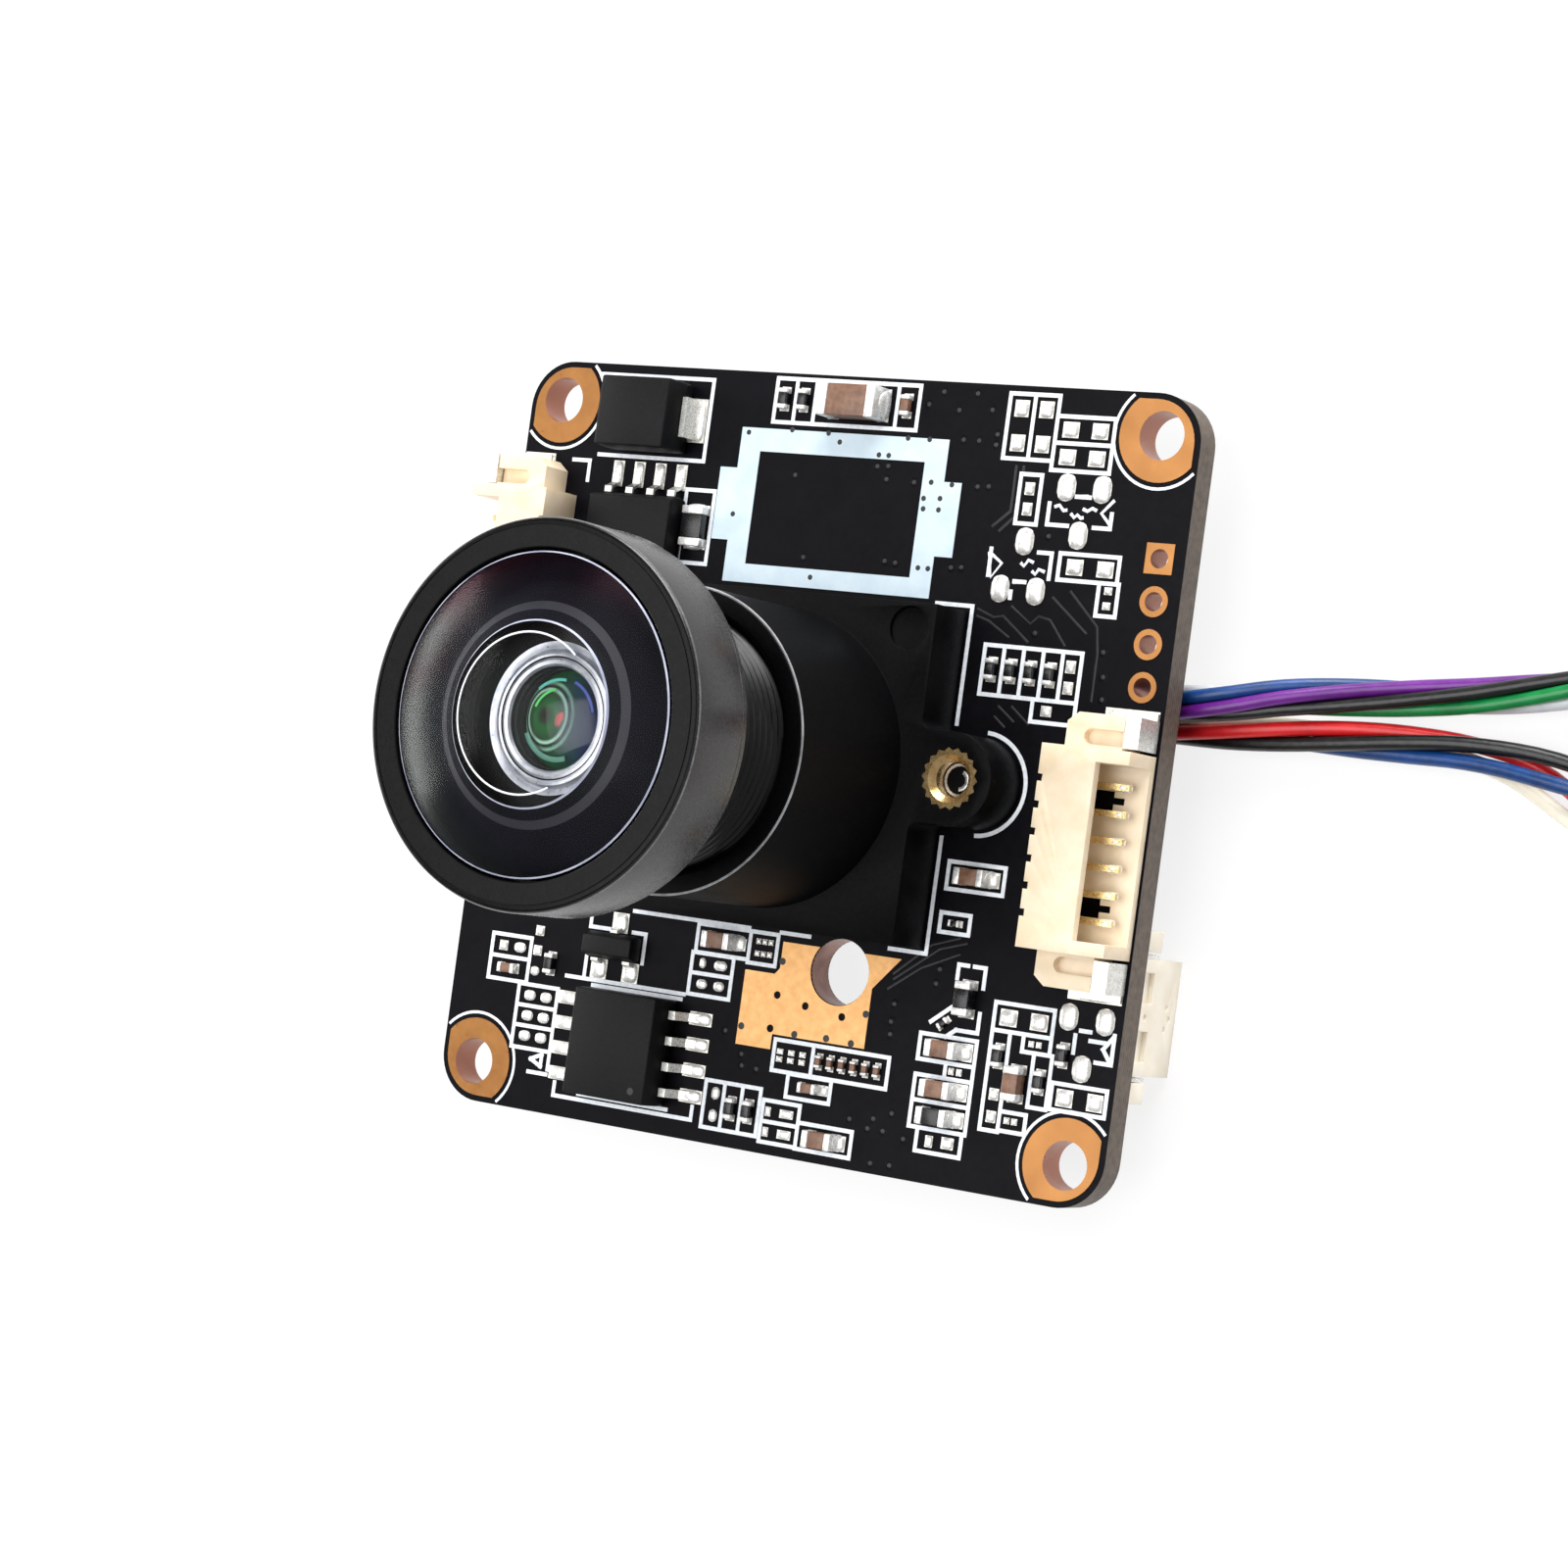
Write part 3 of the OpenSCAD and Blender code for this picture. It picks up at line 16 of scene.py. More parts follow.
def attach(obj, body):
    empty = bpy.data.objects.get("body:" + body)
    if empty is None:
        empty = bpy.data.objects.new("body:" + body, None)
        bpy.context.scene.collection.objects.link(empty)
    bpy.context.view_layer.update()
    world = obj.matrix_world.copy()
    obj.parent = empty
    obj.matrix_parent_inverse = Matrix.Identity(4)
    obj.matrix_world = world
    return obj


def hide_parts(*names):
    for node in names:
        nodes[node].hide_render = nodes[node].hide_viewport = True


MM = 0.001
TURN = 2 * math.pi
FLOOR_Z = -5.8          # the lower face of the rear headers, on which the object stands
BOARD_T = 1.6           # laminate thickness, from z = 0 down
PLATING_T = 0.05        # copper and tin above the laminate
PIN_PITCH = 1.25        # of every socket and plug
WELD = 2e-7             # points closer than this, in metres, are one

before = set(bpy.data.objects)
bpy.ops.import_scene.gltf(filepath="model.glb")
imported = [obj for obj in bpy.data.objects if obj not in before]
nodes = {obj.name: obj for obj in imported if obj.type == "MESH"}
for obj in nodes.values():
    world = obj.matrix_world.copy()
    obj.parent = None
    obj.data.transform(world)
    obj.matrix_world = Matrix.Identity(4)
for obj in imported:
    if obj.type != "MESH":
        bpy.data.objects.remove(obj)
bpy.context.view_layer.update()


# ---------------------------------------------------------------- camera

def place_camera(position, target, roll, lens):
    """A camera at a point in millimetres, looking at another, turned by roll degrees."""
    data = bpy.data.cameras.new("camera")
    data.lens = lens
    data.sensor_width = 36
    data.clip_start = 0.005
    data.clip_end = 10
    camera = bpy.data.objects.new("camera", data)
    bpy.context.scene.collection.objects.link(camera)
    back = (Vector(position) - Vector(target)).normalized()
    right = Vector((0, 1, 0)).cross(back).normalized()
    turn = Matrix((right, back.cross(right), back)).transposed()
    camera.matrix_world = (
        Matrix.Translation(Vector(position) * MM)
        @ turn.to_4x4()
        @ Matrix.Rotation(math.radians(roll), 4, "Z")
    )
    bpy.context.scene.camera = camera


place_camera(position=(94.28, -4.88, 153.79), target=(-0.86, -1.11, 0), roll=7.70, lens=85.3)


# ---------------------------------------------------------------- small helpers

def srgb(code):
    """A colour written as sRGB hex, in the linear values that Blender works in."""
    shares = [int(code[i:i + 2], 16) / 255 for i in (0, 2, 4)]
    return tuple(c / 12.92 if c <= 0.04045 else ((c + 0.055) / 1.055) ** 2.4 for c in shares) + (1,)


def add_node(tree, kind, values=None, **settings):
    """Adds a node. A value is a constant or another node's output, by socket name or place."""
    node = tree.nodes.new(kind)
    for name, value in settings.items():
        setattr(node, name, value)
    for key, value in (values or {}).items():
        if isinstance(value, bpy.types.NodeSocket):
            tree.links.new(value, node.inputs[key])
        else:
            node.inputs[key].default_value = value
    return node


def calc(tree, operation, *values):
    """The output of a math node over constants and other nodes' outputs."""
    values = dict(enumerate(values))
    return add_node(tree, "ShaderNodeMath", values, operation=operation).outputs[0]


def link_object(name, data):
    obj = bpy.data.objects.new(name, data)
    bpy.context.scene.collection.objects.link(obj)
    return obj


def finish_mesh(mesh, sharp):
    """Normals outward, smooth faces, and sharp edges where faces meet above an angle."""
    work = bmesh.new()
    work.from_mesh(mesh)
    bmesh.ops.recalc_face_normals(work, faces=work.faces)
    work.to_mesh(mesh)
    work.free()
    mesh.polygons.foreach_set("use_smooth", [True] * len(mesh.polygons))
    mesh.set_sharp_from_angle(angle=math.radians(sharp))
    mesh.update()


def make_mesh(name, points, faces, sharp=35):
    """A mesh from points in millimetres."""
    mesh = bpy.data.meshes.new(name)
    mesh.from_pydata([Vector(p) * MM for p in points], [], faces)
    finish_mesh(mesh, sharp)
    return mesh


def put(name, mesh, finish, body="board", stands_for=()):
    """Shows a mesh on a CAD body with its material, in place of the CAD nodes it stands for."""
    obj = link_object(name, mesh)
    mesh.materials.clear()
    mesh.materials.append(finish)
    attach(obj, body)
    if stands_for:
        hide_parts(*stands_for)
    return obj


def ring_faces(count, segments, closed=True):
    """Faces between profiles of `count` points each that stand round an axis."""
    faces = []
    for i in range(segments):
        j = (i + 1) % segments
        for k in range(count if closed else count - 1):
            m = (k + 1) % count
            faces.append((i * count + k, j * count + k, j * count + m, i * count + m))
    return faces


def revolve(profile, segments, closed=True):
    """Points and faces of a profile of (radius, height) turned round the lens axis."""
    points = []
    for i in range(segments):
        a = TURN * i / segments
        points += [(r * math.cos(a), r * math.sin(a), z) for r, z in profile]
    return points, ring_faces(len(profile), segments, closed)


def merged_copy(node):
    """A mesh copy of a CAD node with its doubled points merged and flat faces joined."""
    mesh = nodes[node].data.copy()
    work = bmesh.new()
    work.from_mesh(mesh)
    bmesh.ops.remove_doubles(work, verts=work.verts, dist=WELD)
    bmesh.ops.dissolve_limit(
        work, angle_limit=math.radians(1), verts=work.verts, edges=work.edges
    )
    work.to_mesh(mesh)
    work.free()
    return mesh


def evaluated(obj):
    """The object's mesh with its modifiers applied. The object itself is removed."""
    graph = bpy.context.evaluated_depsgraph_get()
    mesh = bpy.data.meshes.new_from_object(obj.evaluated_get(graph), depsgraph=graph)
    bpy.data.objects.remove(obj)
    return mesh


def softened(node, width, finish):
    """A CAD node of the board with its edges rounded by a width in millimetres."""
    obj = link_object(node + "_soft", merged_copy(node))
    bevel = obj.modifiers.new("round", "BEVEL")
    bevel.width = width * MM
    bevel.segments = 2
    bevel.limit_method = "ANGLE"
    bevel.angle_limit = math.radians(32)
    mesh = evaluated(obj)
    finish_mesh(mesh, 35)
    return put(node + "_soft", mesh, finish, stands_for=(node,))


def islands(node):
    """Each solid of a CAD node: centre, half sizes in its own axes and turn, in millimetres."""
    work = bmesh.new()
    work.from_mesh(merged_copy(node))
    found = []
    seen = set()
    for start in work.verts:
        if start in seen:
            continue
        group = [start]
        seen.add(start)
        for vert in group:
            for edge in vert.link_edges:
                other = edge.other_vert(vert)
                if other not in seen:
                    seen.add(other)
                    group.append(other)
        level = [
            edge for vert in group for edge in vert.link_edges
            if abs(edge.verts[1].co.z - edge.verts[0].co.z) < 1e-6
        ]
        longest = max(level, key=lambda edge: edge.calc_length())
        way = longest.verts[1].co - longest.verts[0].co
        turn = math.atan2(way.y, way.x) % math.pi
        back = Matrix.Rotation(-turn, 3, "Z")
        local = [back @ v.co for v in group]
        low = Vector([min(p[i] for p in local) for i in range(3)])
        high = Vector([max(p[i] for p in local) for i in range(3)])
        centre = back.inverted() @ ((low + high) / 2)
        found.append((centre / MM, (high - low) / 2 / MM, turn))
    work.free()
    return found


def on_rear(centre):
    return centre.z < -BOARD_T / 2


# ---------------------------------------------------------------- node trees that repeat and sweep

def geometry_tree(name, sockets):
    """A geometry tree with named inputs. Returns it, its input node and its output node."""
    tree = bpy.data.node_groups.new(name, "GeometryNodeTree")
    tree.interface.new_socket("Geometry", in_out="INPUT", socket_type="NodeSocketGeometry")
    for label, kind in sockets:
        tree.interface.new_socket(label, in_out="INPUT", socket_type="NodeSocket" + kind)
    tree.interface.new_socket("Geometry", in_out="OUTPUT", socket_type="NodeSocketGeometry")
    return tree, tree.nodes.new("NodeGroupInput"), tree.nodes.new("NodeGroupOutput")


def run_tree(obj, tree, values):
    """The mesh that a tree makes from an object, with its inputs set by name."""
    modifier = obj.modifiers.new("nodes", "NODES")
    modifier.node_group = tree
    for item in tree.interface.items_tree:
        if item.item_type == "SOCKET" and item.name in values:
            modifier[item.identifier] = values[item.name]
    return evaluated(obj)


def end_tree(tree, start, end, shape):
    """Makes a shape's copies real, dresses it in the tree's material and sends it out."""
    real = add_node(tree, "GeometryNodeRealizeInstances", {"Geometry": shape})
    dressed = add_node(tree, "GeometryNodeSetMaterial", {
        "Geometry": real.outputs[0], "Material": start.outputs["Finish"]})
    tree.links.new(dressed.outputs[0], end.inputs[0])
    return tree


def sweep_tree():
    """Draws a round or a flat profile along a curve."""
    tree, start, end = geometry_tree(
        "sweep", [("Width", "Float"), ("Height", "Float"), ("Sides", "Int"), ("Finish", "Material")]
    )
    ring = add_node(tree, "GeometryNodeCurvePrimitiveCircle", {
        "Resolution": start.outputs["Sides"], "Radius": 0.5})
    size = add_node(tree, "ShaderNodeCombineXYZ", {
        0: start.outputs["Width"], 1: start.outputs["Height"], 2: 1.0})
    profile = add_node(tree, "GeometryNodeTransform", {
        "Geometry": ring.outputs[0], "Scale": size.outputs[0]})
    solid = add_node(tree, "GeometryNodeCurveToMesh", {
        "Curve": start.outputs["Geometry"], "Profile Curve": profile.outputs[0], "Fill Caps": True})
    smooth = add_node(tree, "GeometryNodeSetShadeSmooth", {"Geometry": solid.outputs[0]})
    return end_tree(tree, start, end, smooth.outputs[0])


def scatter_tree():
    """Puts a piece on every point, turned and scaled by the point's own values."""
    tree, start, end = geometry_tree("scatter", [("Piece", "Object"), ("Finish", "Material")])
    piece = add_node(tree, "GeometryNodeObjectInfo", {"Object": start.outputs["Piece"]})
    spin, size = (
        add_node(tree, "GeometryNodeInputNamedAttribute", {"Name": label}, data_type="FLOAT_VECTOR")
        for label in ("turn", "size"))
    copies = add_node(tree, "GeometryNodeInstanceOnPoints", {
        "Points": start.outputs["Geometry"], "Instance": piece.outputs["Geometry"],
        "Rotation": spin.outputs["Attribute"], "Scale": size.outputs["Attribute"]})
    return end_tree(tree, start, end, copies.outputs[0])


SWEEP = sweep_tree()
SCATTER = scatter_tree()


def sweep(name, paths, width, height, sides, finish):
    """A mesh drawn along polylines given in millimetres."""
    curve = bpy.data.curves.new(name, "CURVE")
    curve.dimensions = "3D"
    curve.twist_mode = "Z_UP"
    for path in paths:
        line = curve.splines.new("POLY")
        line.points.add(len(path) - 1)
        for point, spot in zip(line.points, path):
            point.co = (*(Vector(spot) * MM), 1)
    values = {"Width": width * MM, "Height": height * MM, "Sides": sides, "Finish": finish}
    mesh = run_tree(link_object(name, curve), SWEEP, values)
    finish_mesh(mesh, 50)
    return mesh


def scatter(name, piece, spots, finish):
    """A mesh with a copy of a piece at each spot: place, size and turn about X, Y and Z."""
    mesh = bpy.data.meshes.new(name)
    mesh.from_pydata([Vector(spot[0]) * MM for spot in spots], [], [])
    size = mesh.attributes.new("size", "FLOAT_VECTOR", "POINT")
    turn = mesh.attributes.new("turn", "FLOAT_VECTOR", "POINT")
    for i, spot in enumerate(spots):
        size.data[i].vector = spot[1]
        turn.data[i].vector = spot[2]
    unit = link_object(name + "_unit", piece)
    result = run_tree(link_object(name, mesh), SCATTER, {"Piece": unit, "Finish": finish})
    bpy.data.objects.remove(unit)
    finish_mesh(result, 50)
    return result


# ---------------------------------------------------------------- materials

def per_mm(size):
    """The scale of a pattern in Object coordinates whose features are `size` millimetres wide."""
    return 1 / (size * MM)


def surface(name, light, dark, rough, metal=0.0, grain=0.4, relief=0.004, spread=0.06, **sockets):
    """A material whose colour wanders between two tones over `grain` millimetres, with a fine
    relief in millimetres and a roughness that varies by `spread`. Returns it with its tree,
    its shader and the outputs that a special finish adds to."""
    result = bpy.data.materials.new(name)
    result.use_nodes = True
    tree = result.node_tree
    shader = tree.nodes["Principled BSDF"]
    place = add_node(tree, "ShaderNodeTexCoord").outputs["Object"]
    cloud = add_node(tree, "ShaderNodeTexNoise", {
        "Vector": place, "Scale": per_mm(grain), "Detail": 4.0, "Roughness": 0.6})
    spread_out = add_node(tree, "ShaderNodeMapRange", {
        "Value": cloud.outputs["Fac"], "From Min": 0.35, "From Max": 0.65})
    tone = add_node(tree, "ShaderNodeMix", {
        0: spread_out.outputs[0], 6: srgb(dark), 7: srgb(light)}, data_type="RGBA")
    fine = add_node(tree, "ShaderNodeTexNoise", {
        "Vector": place, "Scale": per_mm(grain / 4), "Detail": 3.0})
    rub = add_node(tree, "ShaderNodeMapRange", {
        "Value": fine.outputs["Fac"], "From Min": 0.3, "From Max": 0.7,
        "To Min": rough - spread, "To Max": rough + spread})
    bump = add_node(tree, "ShaderNodeBump", {
        "Height": fine.outputs["Fac"], "Strength": 1.0, "Distance": relief * MM})
    tree.links.new(tone.outputs[2], shader.inputs["Base Color"])
    tree.links.new(rub.outputs[0], shader.inputs["Roughness"])
    tree.links.new(bump.outputs[0], shader.inputs["Normal"])
    shader.inputs["Metallic"].default_value = metal
    for label, value in sockets.items():
        shader.inputs[label.replace("_", " ")].default_value = value
    return result, tree, shader, {"place": place, "tone": tone.outputs[2], "bump": bump.outputs[0]}


def plain(*args, **kwargs):
    return surface(*args, **kwargs)[0]


def axis_distance(tree, place):
    """The output of nodes that measure how far a place is from the lens axis."""
    flat = add_node(tree, "ShaderNodeVectorMath", {0: place, 1: (1, 1, 0)}, operation="MULTIPLY")
    away = add_node(tree, "ShaderNodeVectorMath", {0: flat.outputs[0]}, operation="LENGTH")
    return away.outputs["Value"]


def circuit_laminate():
    """Glass-cloth laminate: grey-brown resin with paler cloth layers 0.2 mm apart at the edge."""
    result, tree, shader, parts = surface(
        "glass cloth laminate", "64564a", "473b33", 0.55, grain=0.35, relief=0.012)
    split = add_node(tree, "ShaderNodeSeparateXYZ", {0: parts["place"]})
    layer = calc(tree, "MULTIPLY", split.outputs["Z"], TURN * per_mm(0.2))
    band = add_node(tree, "ShaderNodeMapRange", {
        "Value": calc(tree, "SINE", layer), "From Min": 0.1, "From Max": 0.9, "To Max": 0.45})
    mixed = add_node(tree, "ShaderNodeMix", {
        0: band.outputs[0], 6: parts["tone"], 7: srgb("776a5b")}, data_type="RGBA")
    tree.links.new(mixed.outputs[2], shader.inputs["Base Color"])
    return result


def plated_gold():
    """Immersion gold: orange and satin on the face, pinker and duller down the hole's wall."""
    result, tree, shader, parts = surface(
        "immersion gold", "a06d38", "905f2e", 0.32, metal=0.6, grain=2.0, relief=0.003, spread=0.05)
    face = add_node(tree, "ShaderNodeNewGeometry")
    split = add_node(tree, "ShaderNodeSeparateXYZ", {0: face.outputs["True Normal"]})
    level = calc(tree, "ABSOLUTE", split.outputs["Z"])
    mixed = add_node(tree, "ShaderNodeMix", {
        0: level, 6: srgb("a86f5a"), 7: parts["tone"]}, data_type="RGBA")
    tree.links.new(mixed.outputs[2], shader.inputs["Base Color"])
    return result


def turned_metal(name, light, dark, rough, metal, pitch, relief, **sockets):
    """A surface turned on a lathe: fine rings round the lens axis, `pitch` millimetres apart."""
    result, tree, shader, parts = surface(name, light, dark, rough, metal, grain=0.8, **sockets)
    split = add_node(tree, "ShaderNodeSeparateXYZ", {0: parts["place"]})
    along = calc(tree, "ADD", axis_distance(tree, parts["place"]), split.outputs["Z"])
    groove = add_node(tree, "ShaderNodeTexNoise", {
        "W": along, "Scale": per_mm(pitch), "Detail": 2.0}, noise_dimensions="1D")
    bump = add_node(tree, "ShaderNodeBump", {
        "Height": groove.outputs["Fac"], "Distance": relief * MM, "Strength": 1.0,
        "Normal": parts["bump"]})
    tree.links.new(bump.outputs[0], shader.inputs["Normal"])
    return result


def coated_glass(name, sheen, face_on, slant, rough=0.04, tint="ffffff", clear=0.0):
    """Polished, coated glass. Light goes straight through it. Its reflections are weak face on,
    grow at a slant, and take the coating's colour towards +Y. Within `clear` millimetres of
    the lens axis the coating works best, and the slanting reflections are a tenth."""
    result = bpy.data.materials.new(name)
    result.use_nodes = True
    tree = result.node_tree
    tree.nodes.remove(tree.nodes["Principled BSDF"])
    place = add_node(tree, "ShaderNodeTexCoord").outputs["Object"]
    cloud = add_node(tree, "ShaderNodeTexNoise", {
        "Vector": place, "Scale": per_mm(5), "Detail": 1.0})
    lean = add_node(tree, "ShaderNodeVectorMath", {
        0: place, 1: (-0.2, 0.98, 0)}, operation="DOT_PRODUCT")
    # The colour comes in over about 5 mm, with an uneven front.
    side = calc(
        tree, "MULTIPLY_ADD", lean.outputs["Value"], 0.25 / (3 * MM), cloud.outputs["Fac"])
    tinted = add_node(tree, "ShaderNodeMapRange", {
        "Value": side, "From Min": 0.65, "From Max": 1.1})
    colour = add_node(tree, "ShaderNodeMix", {
        0: tinted.outputs[0], 6: srgb("eef4f0"), 7: srgb(sheen)}, data_type="RGBA")
    edge_on = add_node(tree, "ShaderNodeLayerWeight", {"Blend": 0.5})
    curve = calc(tree, "POWER", edge_on.outputs["Facing"], 3.0)
    outward = add_node(tree, "ShaderNodeMapRange", {
        "Value": axis_distance(tree, place),
        "From Min": (clear - 2) * MM, "From Max": (clear + 1) * MM,
        "To Min": 0.1 * slant, "To Max": slant}, interpolation_type="SMOOTHSTEP")
    share = calc(tree, "MULTIPLY_ADD", curve, outward.outputs[0], face_on)
    through = add_node(tree, "ShaderNodeBsdfTransparent", {"Color": srgb(tint)})
    mirror = add_node(tree, "ShaderNodeBsdfGlossy", {
        "Color": colour.outputs[2], "Roughness": rough})
    both = add_node(tree, "ShaderNodeMixShader", {
        0: share, 1: through.outputs[0], 2: mirror.outputs[0]})
    tree.links.new(both.outputs[0], tree.nodes["Material Output"].inputs["Surface"])
    return result


def deep_glass_painted_reflections():
    """The innermost element, its colour painted with its coatings' reflections: rings 0.7 mm off
    the axis, olive in the middle, then green with two pale arcs of painted highlight, and all of it
    turns to navy towards the right."""
    result, tree, shader, parts = surface(
        "dense glass, painted coating reflections", "1c2a12", "0c1a10", 0.1, grain=1.2, relief=0.0,
        Specular_IOR_Level=0.1)
    moved = add_node(tree, "ShaderNodeVectorMath", {
        0: parts["place"], 1: (0.7 * MM, -0.1 * MM, 0)}, operation="ADD")
    share = calc(tree, "DIVIDE", axis_distance(tree, moved.outputs[0]), 2.8 * MM)
    rings = add_node(tree, "ShaderNodeValToRGB", {0: share})
    # The ramp paints the coatings' reflections: a dark core, green rings and two pale arcs of
    # painted highlight.
    stops = [
        (0, "0c1004"), (0.1, "142008"), (0.2, "0e5a22"), (0.38, "073a14"), (0.43, "b4e4cc"),
        (0.46, "061c0e"), (0.49, "07280f"), (0.53, "8cc4a8"), (0.57, "07401c"), (0.8, "0c5c2a"),
    ]
    ramp = rings.color_ramp
    for at, code in stops[2:]:
        ramp.elements.new(at)
    for element, (at, code) in zip(ramp.elements, stops):
        element.position = at
        element.color = srgb(code)
    # Painted reflection: the colour turns to navy towards the right.
    split = add_node(tree, "ShaderNodeSeparateXYZ", {0: parts["place"]})
    right = add_node(tree, "ShaderNodeMapRange", {
        "Value": split.outputs["X"], "From Min": -0.4 * MM, "From Max": 1.3 * MM})
    navy = add_node(tree, "ShaderNodeMix", {
        0: right.outputs[0], 6: rings.outputs[0], 7: srgb("081848")}, data_type="RGBA")
    tree.links.new(navy.outputs[2], shader.inputs["Base Color"])
    return result


def floor_white():
    """The white sweep that the object stands on: lit paper that still takes its shadow."""
    result = bpy.data.materials.new("white paper sweep")
    result.use_nodes = True
    tree = result.node_tree
    shader = tree.nodes["Principled BSDF"]
    shader.inputs["Base Color"].default_value = srgb("ffffff")
    shader.inputs["Roughness"].default_value = 0.9
    shader.inputs["Specular IOR Level"].default_value = 0.0
    ray = add_node(tree, "ShaderNodeLightPath")
    seen = calc(tree, "MAXIMUM", ray.outputs["Is Camera Ray"], ray.outputs["Is Glossy Ray"])
    glow = add_node(tree, "ShaderNodeEmission", {"Color": srgb("ffffff"), "Strength": 1.0})
    both = add_node(tree, "ShaderNodeMixShader", {
        0: calc(tree, "MULTIPLY", seen, 0.82), 1: shader.outputs[0], 2: glow.outputs[0]})
    tree.links.new(both.outputs[0], tree.nodes["Material Output"].inputs["Surface"])
    return result


# Semi-gloss solder mask over copper: near black, with a soft ripple where it flowed.
MASK = plain("black solder mask", "0c0b10", "08070b", 0.42, grain=1.6, relief=0.008, spread=0.07,
             Specular_IOR_Level=0.06)
# The same ink where it rides over a copper trace: a shade lighter.
MASK_RAISED = plain("solder mask on copper", "17171b", "121215", 0.36, grain=0.8, relief=0.006,
                    Specular_IOR_Level=0.3)
LAMINATE = circuit_laminate()
GOLD = plated_gold()
# Wide bare ground copper, gold plated: paler and grainier than the rings.
GOLD_FIELD = plain("gold ground field", "dfac70", "cf9a5e", 0.4, 0.5, grain=0.5, relief=0.008)
# Thin plating on a drilled wall: pinkish and dull.
COPPER_WALL = plain("plated hole wall", "b98a7c", "94675a", 0.35, 0.3, grain=1.0, relief=0.002)
# Reflowed tin: bright, slightly grey, with a crystalline skin.
SOLDER = plain("reflowed solder", "f8f7f4", "dcdbd8", 0.3, 0.45, grain=0.3, relief=0.003)
# Levelled tin on bare pads: flatter and warmer than the solder.
TIN = plain("levelled tin", "f6f3ea", "ddd8cc", 0.34, 0.35, grain=0.3, relief=0.003)
# Screen-printed legend ink: white, faintly blue, chalky. The wide frame is cooler and smoother.
INK = plain("white legend ink", "f4f7fb", "dde4ec", 0.6, grain=0.25, relief=0.008)
INK_BLUE = plain("cool white legend ink", "d3e3ec", "c5d8e4", 0.6, grain=1.5, relief=0.004)
# Bare mask seen through a gap in the print; on the pads, painted shade where a via's open mouth is
# dark.
INK_HOLE = plain("gap in the legend", "19191c", "121214", 0.5, grain=0.2)
# Moulded glass-filled nylon: black with a fine dull grain, and a pale grey painted highlight for
# its rim.
NYLON = plain("glass-filled black nylon", "08080a", "040405", 0.46, grain=0.22, relief=0.01,
              spread=0.1, Specular_IOR_Level=0.08)
# A painted highlight: pale grey where the tube's rim would catch the light.
NYLON_RIM_HIGHLIGHT = plain("painted highlight on the nylon rim", "c4c4c6", "8c8c90", 0.3, grain=1.5, relief=0.0)
# Turned brass inserts: warm, with sharp small highlights on the teeth.
BRASS = plain("turned brass", "dfc08a", "b8935c", 0.26, 0.85, grain=0.5, relief=0.002, spread=0.05)
# Zinc plating: a bright, cool grey.
STEEL = plain("bright zinc-plated steel", "eceef0", "c6c8cb", 0.3, 0.7, grain=0.4, relief=0.002)
SILICON = plain("sensor ceramic", "34373b", "26282b", 0.35, grain=0.6)
# Black anodised aluminium, turned: soft and deep on the face, glossier on the band, and
# grey on the small rim chamfers, where a highlight is painted.
ANODISED = turned_metal(
    "black anodised aluminium", "0c0b0c", "080708", 0.3, 0.0, 0.05, 0.002,
    Specular_IOR_Level=0.1, Coat_Weight=0.02, Coat_Roughness=0.2)
ANODISED_BAND = turned_metal(
    "black anodised band", "161515", "110f10", 0.24, 0.0, 0.05, 0.002,
    Specular_IOR_Level=0.55, Coat_Weight=0.25, Coat_Roughness=0.3)
# A painted highlight: pale grey on the head's rim chamfers.
HEAD_RIM_HIGHLIGHT = turned_metal("painted highlight on the anodised rim", "77777a", "58585b", 0.28, 0.4, 0.05, 0.002)
# Blackened thread: each crest catches a thin grey line.
BARREL_BLACK = turned_metal("blackened barrel thread", "141314", "0c0c0d", 0.34, 0.25, 0.09, 0.003)
# Paint that swallows stray light inside the lens.
INSIDE_BLACK = turned_metal("matt baffle paint", "08080b", "050507", 0.5, 0.0, 0.12, 0.001,
                            Specular_IOR_Level=0.1)
# Inked edges of the elements: blue-black, and navy where the ink is seen through the glass.
EDGE_INK = plain("blue-black edge ink", "0a0b14", "06070e", 0.5, grain=2.0, relief=0.001,
                 Specular_IOR_Level=0.08)
NAVY_INK = plain("navy edge ink", "0d0f1e", "0a0b17", 0.5, grain=2.0, relief=0.001)
# A fine ground bevel, which shows as a thin pale line round the glass.
GROUND_GLASS = plain("ground glass bevel", "ccd0e0", "9296ae", 0.4, grain=2.5, relief=0.001)
# Bright machined lip that the lamps catch inside the lens.
BRIGHT_RING = turned_metal("bright retaining ring", "c9cbd2", "a2a6b1", 0.33, 0.65, 0.08, 0.002)
# Undyed nylon mouldings: cream, slightly waxy. The upright headers, in shade under the board, are
# painted paler as painted light.
WAXY = {"Subsurface_Weight": 0.15, "Subsurface_Scale": 0.0006,
        "Subsurface_Radius": (1.0, 0.7, 0.4)}
CREAM = plain("natural nylon", "f0dec4", "e6d2b2", 0.42, grain=1.2, relief=0.005, **WAXY)
# Painted light: a paler copy of the cream, so the headers under the board look lit.
CREAM_PAINTED_LIGHT = plain("natural nylon, painted paler", "fff7e8", "faeeda", 0.42, grain=1.2, relief=0.005, **WAXY)
# Contact pins: pale gold with a tinned sheen. Clips and straps: tinned, whiter.
PIN = plain("tinned brass pin", "ead6a4", "cbb279", 0.24, 0.9, grain=0.3, spread=0.08)
NAIL = plain("tinned bronze clip", "ebebe6", "cdccc6", 0.3, 0.6, grain=0.3, relief=0.002)
